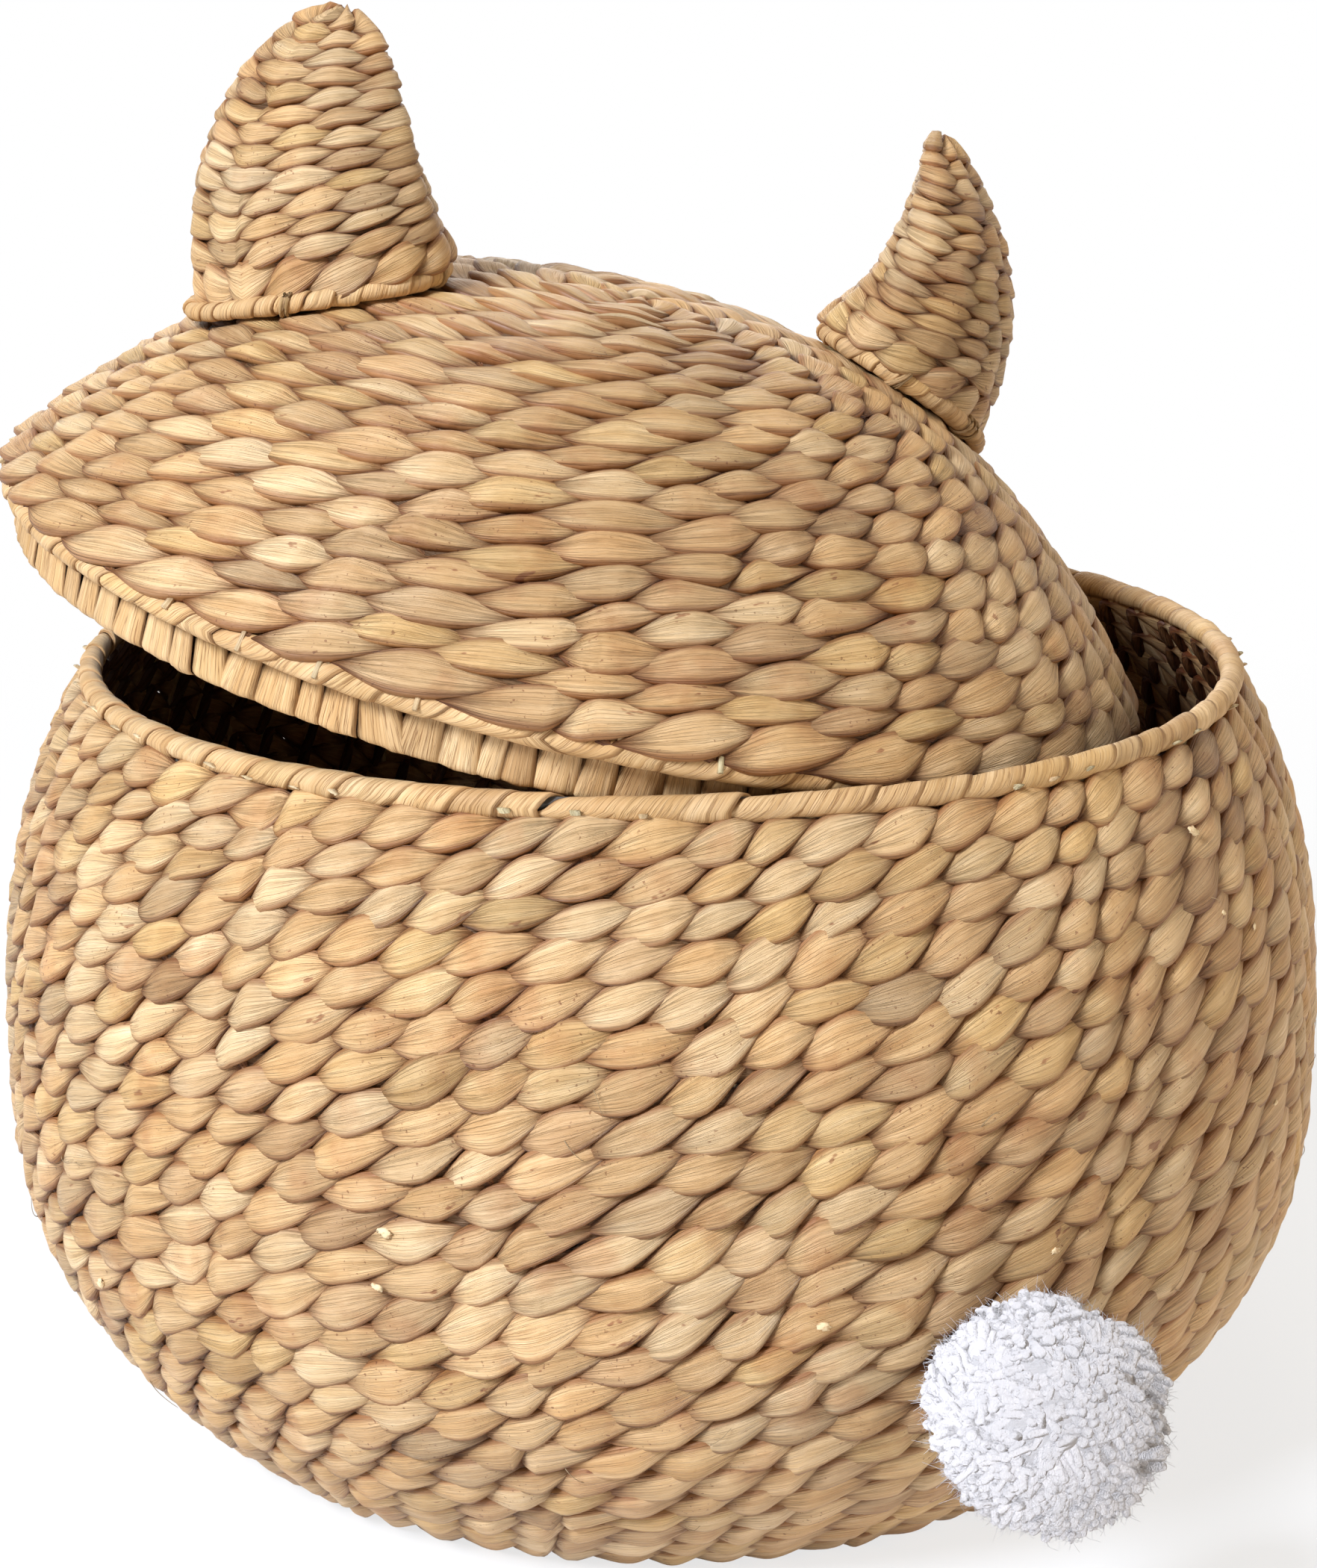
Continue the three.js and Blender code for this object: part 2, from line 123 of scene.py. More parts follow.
class BasketWeave(bpy.types.PropertyGroup):
    """Sizes of the weave."""

    body_courses: IntProperty(name="Body courses", description="Courses in the wall", default=23, min=4)
    body_stakes: IntProperty(
        name="Body stakes", description="Stakes round the wall, an even number", default=68, min=8)
    base_pitch: FloatProperty(
        name="Base pitch", description="Width of a course in the base", default=0.0115, unit="LENGTH")
    dome_courses: IntProperty(name="Lid courses", description="Courses in the dome", default=20, min=4)
    dome_stakes: IntProperty(name="Lid stakes", description="Stakes at the lid's edge", default=42, min=8)
    dome_spacing: FloatProperty(
        name="Lid stake spacing", description="Least spacing of stakes in the lid", default=0.0245,
        unit="LENGTH")
    ear_courses: IntProperty(name="Ear courses", description="Courses in an ear", default=13, min=4)
    ear_spacing: FloatProperty(
        name="Ear stake spacing", description="Spacing of stakes in an ear", default=0.0165, unit="LENGTH")
    strip_advance: FloatProperty(
        name="Binding advance", description="How far a binding strip moves on in a turn", default=0.0165,
        unit="LENGTH")
    yarns: IntProperty(name="Yarns", description="Cut ends of yarn in the tail", default=2800, min=50)


def colour_property(name, description, default):
    """A colour that a user can change."""
    return FloatVectorProperty(name=name, description=description, default=default, subtype="COLOR")


class BasketColours(bpy.types.PropertyGroup):
    """Colours of the dried fibre, the strips, the stakes, the yarn and the wire."""

    tan: colour_property("Tan", "Most of the strands", (0.62, 0.368, 0.158))
    pale: colour_property("Pale", "Bleached strands", (0.72, 0.50, 0.265))
    rose: colour_property("Rose", "Pinkish strands", (0.54, 0.318, 0.148))
    honey: colour_property("Honey", "Yellower strands", (0.64, 0.40, 0.155))
    grey: colour_property("Grey", "Weathered strands", (0.44, 0.285, 0.145))
    brown: colour_property("Brown", "Dark strands", (0.30, 0.15, 0.058))
    strip: colour_property("Strip", "Binding strips", (0.55, 0.342, 0.155))
    pith: colour_property("Pith", "Cut stakes and bare pith", (0.80, 0.60, 0.34))
    straw: colour_property("Straw", "Straw coloured stakes", (0.62, 0.50, 0.28))
    yarn: colour_property("Yarn", "Tail", (0.66, 0.62, 0.60))
    wire: colour_property("Wire", "Hoops", (0.10, 0.09, 0.08))
    rust: colour_property("Rust", "Worn places on the hoops", (0.16, 0.075, 0.035))


def settings():
    """The sizes and the colours that a user can change."""
    scene = bpy.context.scene
    return scene.basket_weave, scene.basket_colours


# Shader maths


class Value:
    """An output of a node, so that shader maths reads as Python."""

    def __init__(self, finish, socket):
        self.finish = finish
        self.socket = socket

    def maths(self, operation, *values):
        """The outcome of a sum on some values."""
        inputs = dict(enumerate(values))
        return self.finish.node("ShaderNodeMath", {"operation": operation}, inputs)["Value"]

    def __add__(self, other):
        return self.maths("ADD", self, other)

    def __radd__(self, other):
        return self.maths("ADD", other, self)

    def __sub__(self, other):
        return self.maths("SUBTRACT", self, other)

    def __rsub__(self, other):
        return self.maths("SUBTRACT", other, self)

    def __mul__(self, other):
        return self.maths("MULTIPLY", self, other)

    def __rmul__(self, other):
        return self.maths("MULTIPLY", other, self)

    def __abs__(self):
        return self.maths("ABSOLUTE", self)


class Finish:
    """A procedural material, or world, under construction."""

    def __init__(self, name, store=bpy.data.materials):
        self.material = store.new(name)
        self.material.use_nodes = True
        self.tree = self.material.node_tree
        self.tree.nodes.clear()

    def node(self, kind, settings=None, inputs=None):
        """Adds a node, sets it up and wires its inputs. Its outputs come back by name."""
        made = self.tree.nodes.new(kind)
        for key, value in (settings or {}).items():
            setattr(made, key, value)
        for key, value in (inputs or {}).items():
            if isinstance(value, Value):
                self.tree.links.new(value.socket, made.inputs[key])
            else:
                made.inputs[key].default_value = value
        return {out.name: Value(self, out) for out in made.outputs if out.enabled}

    def mix(self, factor, first, second):
        """A colour between two colours."""
        settings = {"data_type": "RGBA", "blend_type": "MIX", "clamp_factor": True}
        factor_input, first_input, second_input = 0, 6, 7
        inputs = {factor_input: factor, first_input: colour(first), second_input: colour(second)}
        return self.node("ShaderNodeMix", settings, inputs)["Result"]

    def vector(self, operation, *values):
        """A vector made from some vectors."""
        inputs = dict(enumerate(values))
        return self.node("ShaderNodeVectorMath", {"operation": operation}, inputs)["Vector"]

    def scaled(self, vector, factors):
        """A vector times another."""
        return self.vector("MULTIPLY", vector, factors)

    def moved(self, vector, offset):
        """A vector plus another."""
        return self.vector("ADD", vector, offset)

    def brighter(self, shade, factor):
        """A colour times a value."""
        inputs = {"Vector": shade, "Scale": factor}
        return self.node("ShaderNodeVectorMath", {"operation": "SCALE"}, inputs)["Vector"]

    def deeper(self, shade, power):
        """A colour to a power: paler and brighter below 1, darker and richer above."""
        return self.node("ShaderNodeGamma", {}, {"Color": shade, "Gamma": power})["Color"]

    def marked(self, factor, shade, tint):
        """A colour, tinted as far as the factor says."""
        return self.mix(factor, shade, self.scaled(shade, tint))

    def place(self):
        """The place on the object."""
        return self.node("ShaderNodeTexCoord")["Object"]

    def attribute(self, name):
        """What the mesh carries under a name."""
        return self.node("ShaderNodeAttribute", {"attribute_name": name})

    def noise(self, vector, scale=1.0, detail=2.0, roughness=0.5):
        """Cloudy noise between 0 and 1."""
        inputs = {"Vector": vector, "Scale": scale, "Detail": detail, "Roughness": roughness}
        return self.node("ShaderNodeTexNoise", {}, inputs)["Fac"]

    def streaks(self, fibre, along, across, layer=0, detail=2.0, roughness=0.5):
        """Noise drawn out along the fibre. Each layer has a pattern of its own."""
        spread = self.scaled(fibre, (along, across, 1.0))
        if layer:
            spread = self.moved(spread, (0, 0, layer))
        return self.noise(spread, detail=detail, roughness=roughness)

    def step(self, value, low, high):
        """0 below low, 1 above high and smooth between."""
        settings = {"interpolation_type": "SMOOTHSTEP"}
        inputs = {"Value": value, "From Min": low, "From Max": high}
        return self.node("ShaderNodeMapRange", settings, inputs)["Result"]

    def bumped(self, height, strength, distance, **more):
        """A normal with a relief, its distance in metres."""
        inputs = {"Height": height, "Strength": strength, "Distance": distance, **more}
        return self.node("ShaderNodeBump", {}, inputs)["Normal"]

    def surface(self, **inputs):
        """Ends the material in a Principled shader."""
        named = {key.replace("_", " ").title().replace("Ior", "IOR"): value for key, value in inputs.items()}
        shader = self.node("ShaderNodeBsdfPrincipled", {}, named)["BSDF"]
        self.node("ShaderNodeOutputMaterial", {}, {"Surface": shader})
        return self.material


def colour(value):
    """A colour with its alpha, or a link as it is."""
    if isinstance(value, Value) or len(value) == 4:
        return value
    return (*value, 1.0)


# What the colour of a fibre is multiplied by where it is marked: stains, blotches, veins and specks of its
# own, and painted shade at lapped edges, tucked ends and the creases near them
STAINED = (0.72, 0.50, 0.36)
BLOTCHED = (0.40, 0.19, 0.12)
LAP_SHADE = (0.36, 0.19, 0.095)
TUCK_SHADE = (0.36, 0.185, 0.08)
VEIN_AND_CREASE_SHADE = (0.26, 0.14, 0.06)
SPECKED = (0.36, 0.20, 0.12)
STRIP_LAP_SHADE = (0.48, 0.30, 0.17)
STRIP_VEINED = (0.36, 0.21, 0.11)

# Where each kind of mark begins and is complete
BLOTCH_STEP = (0.675, 0.715)
VEIN_STEP = (0.0, 0.02)
CREASE_STEP = (0.0, 0.06)
VEIN_PATCH_STEP = (0.38, 0.58)
SPECK_STEP = (0.68, 0.74)
SPECK_PATCH_STEP = (0.50, 0.60)
STAIN_STEP = (0.52, 0.70)
LAP_SHADE_STEP = (0.60, 0.94)
TUCK_SHADE_STEP = (0.45, 0.95)
STRIP_VEIN_STEP = (0.0, 0.03)
STRIP_LAP_SHADE_STEP = (0.80, 1.0)
BARE_STEP = (0.52, 0.66)
RUST_STEP = (0.55, 0.7)

# Noise cells in a metre, and depths of relief in metres
SPECK_SCALE = 800
SPECK_PATCH_SCALE = 30
STAIN_SCALE = 45
PITH_SCALE = 700
FELT_SCALE = 1300
WEAR_SCALE = 300
FIBRE_RELIEF = 0.0015
STRIP_RELIEF = 0.0011
PITH_RELIEF = 0.0005
YARN_RELIEF = 0.0007

# Layers of noise that differ from the plain one
BLOTCH_LAYER = 70
VEIN_LAYER = 40
STAIN_OFFSET = (3, 1, 2)


def fibre_finish():
    """Dried leaf stalks: each turn has its own colour, with fine fibre lines that meet at its ends, and
    painted shade at lapped edges and tucked ends.
    """
    look = Finish("fibre_finish")
    fibre = look.attribute("fibre")["Vector"]
    tone = look.attribute("tone")
    place = look.place()
    across = look.node("ShaderNodeSeparateXYZ", {}, {"Vector": fibre})["Y"]
    tuck = tone["Alpha"]

    grain = look.streaks(fibre, 0.06, 24.0, detail=3.0, roughness=0.7)
    band = look.streaks(fibre, 0.05, 1.4)
    blotches = look.streaks(fibre, 0.08, 1.1, BLOTCH_LAYER, detail=3.0, roughness=0.65)
    blotch = look.step(blotches, *BLOTCH_STEP)
    vein_noise = look.streaks(fibre, 0.02, 6.0, VEIN_LAYER)
    vein_near = look.step(abs(vein_noise - 0.5), *VEIN_STEP)
    crease = look.step(abs(vein_noise - 0.5), *CREASE_STEP)
    vein_patch = look.step(look.streaks(fibre, 0.12, 1.6, detail=1.0), *VEIN_PATCH_STEP)
    # Fibre lines of the stalk's own colour; their darkening grows towards the tucked ends as painted crease
    # shade
    veins_and_crease_shade = (1.0 - vein_near) * (0.09 + tuck * tuck * 0.88) * vein_patch
    specks = look.step(look.noise(place, scale=SPECK_SCALE, detail=1.0), *SPECK_STEP)
    speck_patch = look.step(look.noise(place, scale=SPECK_PATCH_SCALE, detail=1.0), *SPECK_PATCH_STEP)
    stains = look.noise(look.moved(place, STAIN_OFFSET), scale=STAIN_SCALE, detail=4.0)
    stain = look.step(stains, *STAIN_STEP)
    pleat = look.streaks(fibre, 0.02, 2.2)
    dent = look.streaks(fibre, 0.12, 1.4, detail=3.0)
    edge = look.step(abs(across), *LAP_SHADE_STEP)
    shaded_tuck = look.step(tuck, *TUCK_SHADE_STEP)

    shade = look.deeper(tone["Color"], 1.56 - grain * 0.5 - band * 0.62)
    shade = look.brighter(shade, 0.62 + grain * 0.42 + band * 0.34)
    shade = look.marked(stain * 0.5, shade, STAINED)
    shade = look.marked(blotch * (0.4 + grain * 0.6), shade, BLOTCHED)
    # Painted shade along the strand's edges, where its neighbours lap over it
    shade = look.marked(edge * 0.78, shade, LAP_SHADE)
    # Painted shade at the ends of each turn, where the strand tucks under its neighbours
    shade = look.marked(shaded_tuck * 0.9, shade, TUCK_SHADE)
    shade = look.marked(veins_and_crease_shade, shade, VEIN_AND_CREASE_SHADE)
    shade = look.marked(specks * speck_patch * 0.7, shade, SPECKED)
    height = grain * 0.35 + crease * (0.14 + tuck * 0.55) + pleat * (0.5 + shaded_tuck) + dent * 0.7
    return look.surface(
        base_color=shade, roughness=0.42 + grain * 0.2, specular_ior_level=0.4,
        normal=look.bumped(height, 0.85, FIBRE_RELIEF))


def strip_finish():
    """Flat strips: straight fibres along each strip, a few of them dark, and painted shade along the lapped
    edges.
    """
    look = Finish("strip_finish")
    fibre = look.attribute("fibre")["Vector"]
    tone = look.attribute("tone")
    across = look.node("ShaderNodeSeparateXYZ", {}, {"Vector": fibre})["Y"]
    grain = look.streaks(fibre, 0.04, 16.0, detail=3.0, roughness=0.75)
    band = look.streaks(fibre, 0.04, 1.6)
    vein_noise = look.streaks(fibre, 0.03, 7.0, VEIN_LAYER, detail=2.5, roughness=0.6)
    vein_near = look.step(abs(vein_noise - 0.5), *STRIP_VEIN_STEP)
    pleat = look.streaks(fibre, 0.03, 4.0)
    edge = look.step(abs(across), *STRIP_LAP_SHADE_STEP)
    shade = look.deeper(tone["Color"], 1.60 - grain * 0.7 - band * 0.5)
    shade = look.brighter(shade, 0.66 + grain * 0.4 + band * 0.3)
    # Painted shade along the strip's edges, where one turn laps under the next
    shade = look.marked(edge * 0.55, shade, STRIP_LAP_SHADE)
    shade = look.marked((1.0 - vein_near) * (0.25 + tone["Alpha"] * 0.6), shade, STRIP_VEINED)
    height = grain * 0.35 + vein_near * 0.3 + pleat * 0.7
    return look.surface(
        base_color=shade, roughness=0.48 + grain * 0.2, specular_ior_level=0.25,
        normal=look.bumped(height, 0.65, STRIP_RELIEF))


def pith_finish():
    """Bare pale pith, and the tail's tie."""
    look = Finish("pith_finish")
    _, colours = settings()
    grain = look.noise(look.place(), scale=PITH_SCALE, detail=3.0)
    shade = look.mix(look.step(grain, *BARE_STEP) * 0.8, colours.pith, colours.rose)
    return look.surface(base_color=shade, roughness=0.8, normal=look.bumped(grain, 0.5, PITH_RELIEF))


OWN_SHADING = 0.2
BALL_SHADING = 0.55
SCATTER_WAY = (-0.09, -0.18, 0.15)


def yarn_finish():
    """Soft white yarn. It is shaded more as the whole ball than as single strands."""
    look = Finish("yarn_finish")
    tone = look.attribute("tone")
    fuzz = look.streaks(look.attribute("fibre")["Vector"], 0.9, 6.0, detail=4.0, roughness=0.75)
    felt = look.noise(look.place(), scale=FELT_SCALE, detail=4.0, roughness=0.7)
    shade = look.brighter(tone["Color"], 0.88 + fuzz * 0.1 + felt * 0.14)

    low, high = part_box("tail_pompom")
    to_middle = tuple(-(a + b) / 2 for a, b in zip(low, high))
    outward = look.vector("NORMALIZE", look.moved(look.place(), to_middle))
    turning = {"vector_type": "NORMAL", "convert_from": "OBJECT", "convert_to": "WORLD"}
    outward = look.node("ShaderNodeVectorTransform", turning, {"Vector": outward})["Vector"]
    own = look.node("ShaderNodeNewGeometry")["Normal"]
    soft = look.moved(look.brighter(own, OWN_SHADING), look.brighter(outward, BALL_SHADING))
    soft = look.moved(soft, SCATTER_WAY)
    # The correction would darken every yarn that is turned away from the soft normal
    look.material.cycles.use_bump_map_correction = False
    return look.surface(
        base_color=shade, roughness=0.95, specular_ior_level=0.1, diffuse_roughness=1.0,
        normal=look.bumped(felt + fuzz * 0.4, 0.75, YARN_RELIEF, Normal=soft))


def wire_finish():
    """Dull iron wire."""
    look = Finish("wire_finish")
    _, colours = settings()
    worn = look.noise(look.place(), scale=WEAR_SCALE, detail=4.0)
    shade = look.mix(look.step(worn, *RUST_STEP) * 0.5, colours.wire, colours.rust)
    return look.surface(base_color=shade, roughness=0.6 + worn * 0.3, metallic=0.5)


def finish_named(maker):
    """The material that a maker makes, made once."""
    return bpy.data.materials.get(maker.__name__) or maker()


# Meshes


MAP_MARGIN = 0.04
CORNERS = 4


class Grid:
    """A sheet or tube of points, rows along it and columns across it, with fibre places and colours."""

    def __init__(self, points, along, across, tone, closed_along=True, closed_across=True, grain=0.0):
        self.points = points
        rows, columns = points.shape[:2]
        self.fibre = np.empty((rows, columns, 3))
        self.fibre[..., 0] = along
        self.fibre[..., 1] = across
        self.fibre[..., 2] = grain
        self.tone = np.broadcast_to(tone, (rows, columns, 4))
        self.closed_along = closed_along
        self.closed_across = closed_across


def grid_faces(grid):
    """Quads of a grid, turned if they don't face out, with the row and column of each corner."""
    rows, columns = grid.points.shape[:2]
    across_count = columns if grid.closed_across else columns - 1
    along_count = rows if grid.closed_along else rows - 1
    row, column = np.meshgrid(np.arange(along_count), np.arange(across_count), indexing="ij")
    row, column = row.ravel(), column.ravel()
    corners_row = np.stack([row, row, row + 1, row + 1], 1)
    corners_column = np.stack([column, column + 1, column + 1, column], 1)
    index = (corners_row % rows) * columns + corners_column % columns
    points = grid.points.reshape(-1, 3)
    middle = points.mean(0)
    a, b, c, d = (points[index[:, i]] - middle for i in range(CORNERS))
    turned = False
    if grid.closed_across:
        local = grid.points.mean(1)[row % rows] - middle
        size = np.einsum("ij,ij->i", (a + b + c + d) / 4 - local, np.cross(c - a, d - b)).sum()
        turned = size < 0
        if turned:
            index, corners_row, corners_column = (v[:, ::-1] for v in (index, corners_row, corners_column))
    return index, corners_row / rows, corners_column / columns, turned


def make_piece(name, grids, maker, body, slot, nodes, columns=1, arcs=1):
    """One object from many grids. In the map that the colours are kept on, each arc of a grid has a cell."""
    cells = math.ceil(len(grids) * arcs / columns)
    verts, fibres, tones, quads, maps, caps, cap_maps = [], [], [], [], [], [], []
    offset = 0
    for number, grid in enumerate(grids):
        index, down, side, flipped = grid_faces(grid)
        arc = np.floor(down.mean(1, keepdims=True) * arcs)
        cell = number * arcs + arc
        left, bottom = (cell % columns) / columns, (cell // columns) / cells
        maps.append(np.stack([
            left + (MAP_MARGIN / 2 + (down * arcs - arc) * (1 - MAP_MARGIN)) / columns,
            bottom + (MAP_MARGIN / 2 + side * (1 - MAP_MARGIN)) / cells,
        ], 2).reshape(-1, 2))
        quads.append(index + offset)
        rows, across = grid.points.shape[:2]
        if grid.closed_across and not grid.closed_along:
            turned = np.arange(across)
            disc = np.stack([np.cos(turned / across * TURN), np.sin(turned / across * TURN)], 1)
            corner = np.array([left[0, 0], bottom[0, 0]])
            disc = corner + (disc + 1) * MAP_MARGIN / 4 / np.array([columns, cells])
            first, last = (turned, turned[::-1]) if flipped else (turned[::-1], turned)
            caps += [offset + first, offset + (rows - 1) * across + last]
            cap_maps += [disc, disc]
        verts.append(grid.points.reshape(-1, 3))
        fibres.append(grid.fibre.reshape(-1, 3))
        tones.append(grid.tone.reshape(-1, 4))
        offset += rows * across
    verts = np.concatenate(verts)
    if body == "lid":
        place = lid_place()
        verts = verts @ place[:3, :3].T + place[:3, 3]
    verts = verts * METRES
    quads = np.concatenate(quads)
    loops = np.concatenate([quads.ravel(), *caps]) if caps else quads.ravel()
    totals = np.concatenate([np.full(len(quads), CORNERS), [len(c) for c in caps]]).astype(np.int32)
    mesh = bpy.data.meshes.new(name)
    mesh.vertices.add(len(verts))
    mesh.vertices.foreach_set("co", verts.astype(np.float32).ravel())
    mesh.loops.add(len(loops))
    mesh.loops.foreach_set("vertex_index", loops.astype(np.int32))
    mesh.polygons.add(len(totals))
    starts = np.concatenate([[0], np.cumsum(totals)[:-1]]).astype(np.int32)
    mesh.polygons.foreach_set("loop_start", starts)
    mesh.polygons.foreach_set("loop_total", totals)
    mesh.polygons.foreach_set("use_smooth", np.ones(len(totals), dtype=bool))
    layer = mesh.uv_layers.new(name="OFBake")
    layer.data.foreach_set("uv", np.concatenate([*maps, *cap_maps]).astype(np.float32).ravel())
    attribute = mesh.attributes.new("fibre", "FLOAT_VECTOR", "POINT")
    attribute.data.foreach_set("vector", np.concatenate(fibres).astype(np.float32).ravel())
    attribute = mesh.attributes.new("tone", "FLOAT_COLOR", "POINT")
    attribute.data.foreach_set("color", np.concatenate(tones).astype(np.float32).ravel())
    mesh.update(calc_edges=True)
    mesh.validate()
    mesh.materials.append(finish_named(maker))
    piece = bpy.data.objects.new(name, mesh)
    bpy.context.scene.collection.objects.link(piece)
    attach(piece, body)
    if nodes:
        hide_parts(*nodes)
    return piece


# Points and ways


def unit(ways):
    """The same ways, each one long."""
    return ways / np.linalg.norm(ways, axis=-1, keepdims=True)


def polar(radius, angle, height):
    """A point, or points, at a radius and an angle round the axis."""
    return np.stack([radius * np.cos(angle), radius * np.sin(angle), height + 0 * angle], -1)


def turns_round(count):
    """Angles that share a full turn evenly."""
    return np.arange(count) * TURN / count


def lengths_along(points):
    """How far along a line of points each of them is."""
    return np.concatenate([[0], np.cumsum(np.linalg.norm(np.diff(points, axis=0), axis=1))])


def squared(values, power):
    """Sines or cosines pushed out, so that the section they draw is squarer than an ellipse."""
    return np.sign(values) * np.abs(values) ** power


def varied(rng, spread, shape):
    """Random values with a mean and a spread, kept between a least and a most."""
    mean, size, least, most = spread
    return rng.normal(mean, size, shape).clip(least, most)


def passed_on(values, number, share):
    """The value of each numbered turn, passed on to the next turn's by a share."""
    if values.ndim > 1:
        share = share[:, None]
    return values[number] * (1 - share) + values[(number + 1) % len(values)] * share


# Outlines


OUTLINE_STEPS = 400
OUTLINE_REACH = 1.0
TOP_LIFT = 6.5
CROWN_EASING = 1.5


class Outline:
    """A curve of radius and height, measured along its length."""

    def __init__(self, radii, heights):
        self.radii = np.asarray(radii, float)
        self.heights = np.asarray(heights, float)
        steps = np.hypot(np.diff(self.radii), np.diff(self.heights))
        self.marks = np.concatenate([[0], np.cumsum(steps)])
        self.length = self.marks[-1]

    def at(self, along):
        """The radius and height at a length along the curve."""
        return np.interp(along, self.marks, self.radii), np.interp(along, self.marks, self.heights)

    def ring(self, along, inset, angle):
        """Points inset from the curve at an angle round the axis, and the way up the curve there."""
        low = self.at(np.clip(along - OUTLINE_REACH, 0, self.length))
        high = self.at(np.clip(along + OUTLINE_REACH, 0, self.length))
        run, rise = high[0] - low[0], high[1] - low[1]
        size = np.hypot(run, rise)
        run, rise = run / size, rise / size
        radius, height = self.at(along)
        return polar(radius - rise * inset, angle, height + run * inset), polar(run, angle, rise)


def body_radius(height):
    """The wall's outer radius at a height."""
    below = np.clip((BELLY_HEIGHT - height) / BELLY_HEIGHT, 0, 1)
    above = np.clip((height - BELLY_HEIGHT) / (RIM_HEIGHT - BELLY_HEIGHT), 0, 1)
    lower = (BELLY_RADIUS - BASE_RADIUS) * below ** LOWER_FULLNESS
    upper = (BELLY_RADIUS - NECK_RADIUS) * above ** UPPER_FULLNESS
    return BELLY_RADIUS - lower - upper


def dome_height(radius):
    """The dome's height at a radius."""
    return DOME_EDGE + (DOME_HEIGHT - DOME_EDGE) * (1 - (radius / DOME_RADIUS) ** DOME_FULLNESS)


def dome_fall(radius):
    """How steeply the dome falls at a radius."""
    steepest = (DOME_HEIGHT - DOME_EDGE) * DOME_FULLNESS
    return steepest * (radius / DOME_RADIUS) ** (DOME_FULLNESS - 1) / DOME_RADIUS


def body_outline():
    """The wall's outline, from the floor up to the rim's binding."""
    heights = np.linspace(0, WALL_TOP + TOP_LIFT, OUTLINE_STEPS)
    return Outline(body_radius(heights), heights)


def dome_outline():
    """The dome's outline, from its edge to its middle."""
    radii = DOME_RADIUS * (1 - np.linspace(0, 1, OUTLINE_STEPS) ** CROWN_EASING)
    return Outline(radii, dome_height(radii))


def ear_lift():
    """How far an ear's foot stands above the dome, over its binding."""
    return (2 * EAR_TUBE + 2 * SEAT_GAP) * math.hypot(1, dome_fall(EAR_SPREAD))


def ear_place(side, share, angle, inset):
    """A point of an ear in the lid's frame, at a share of its height and an angle round it."""
    turn = math.radians(EAR_TURN if side > 0 else 180 - EAR_TURN)

    def flat(share):
        """The place from above."""
        share = np.maximum(share, 0)
        width = EAR_HALF_WIDTH * np.sqrt(np.maximum(1 - share ** EAR_WIDTH_FULLNESS, 0))
        depth = EAR_HALF_DEPTH * (1 - EAR_THIN_SHARE * share)
        depth = depth * np.sqrt(np.maximum(1 - share ** EAR_TIP_FULLNESS, 0))
        along = np.maximum(width - inset, EAR_LEAST) * np.cos(angle)
        across = np.maximum(depth - inset, EAR_LEAST) * np.sin(angle)
        out = EAR_SPREAD + (EAR_TIP_SPREAD - EAR_SPREAD) * share + 4 * EAR_BULGE * share * (1 - share)
        forward = EAR_FORWARD + (EAR_TIP_FORWARD - EAR_FORWARD) * share ** EAR_CURL
        return (
            side * out + along * math.cos(turn) - across * math.sin(turn),
            forward + along * math.sin(turn) + across * math.cos(turn),
        )

    foot = dome_height(np.hypot(*flat(0.0))) + ear_lift()
    x, y = flat(share)
    return np.stack([x, y, foot + (EAR_TIP_HEIGHT - foot) * share], -1)


def lid_place():
    """Where the lid lies: its own frame in the basket's, in millimetres."""
    hoop = np.array([v.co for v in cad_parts["lid_hoop"].data.vertices]) / METRES
    low = math.radians(LID_LOW_SIDE)
    axis = Vector((-math.sin(low), math.cos(low), 0))
    turn = Quaternion(axis, math.radians(LID_TILT)) @ Quaternion((0, 0, 1), math.radians(LID_TWIST))
    place = np.eye(4)
    place[:3, :3] = np.array(turn.to_matrix())
    place[:3, 3] = (hoop.min(0) + hoop.max(0)) / 2
    return place


# Weaving


# Shares of the six colours of fibre, and how far they mix
FIBRE_SHARES = (0.42, 0.25, 0.12, 0.14, 0.04, 0.03)
FIBRE_MIXING = 0.6
TAN_SHARE = 0.28

# Each strand has its own layer of the noise, anywhere up to this one
GRAINS = 90

# Each spread is a mean, a size, a least and a most
FIBRE_SHADES = (1.0, 0.07, 0.8, 1.2)
TURN_WIDTHS = (1.02, 0.10, 0.82, 1.25)
TURN_CRESTS = (1.0, 0.12, 0.7, 1.25)
TURN_SLOPES = (1.0, 0.18, 0.6, 1.3)
TURN_FULLNESSES = (1.12, 0.12, 0.85, 1.5)
COURSE_WIDTHS = (1.0, 0.07, 0.86, 1.2)
TURN_LIFT = 0.04
FOLD_DEPTH = 0.2
STAKE_LEAN = 0.28
STAKE_STRAY = 0.09

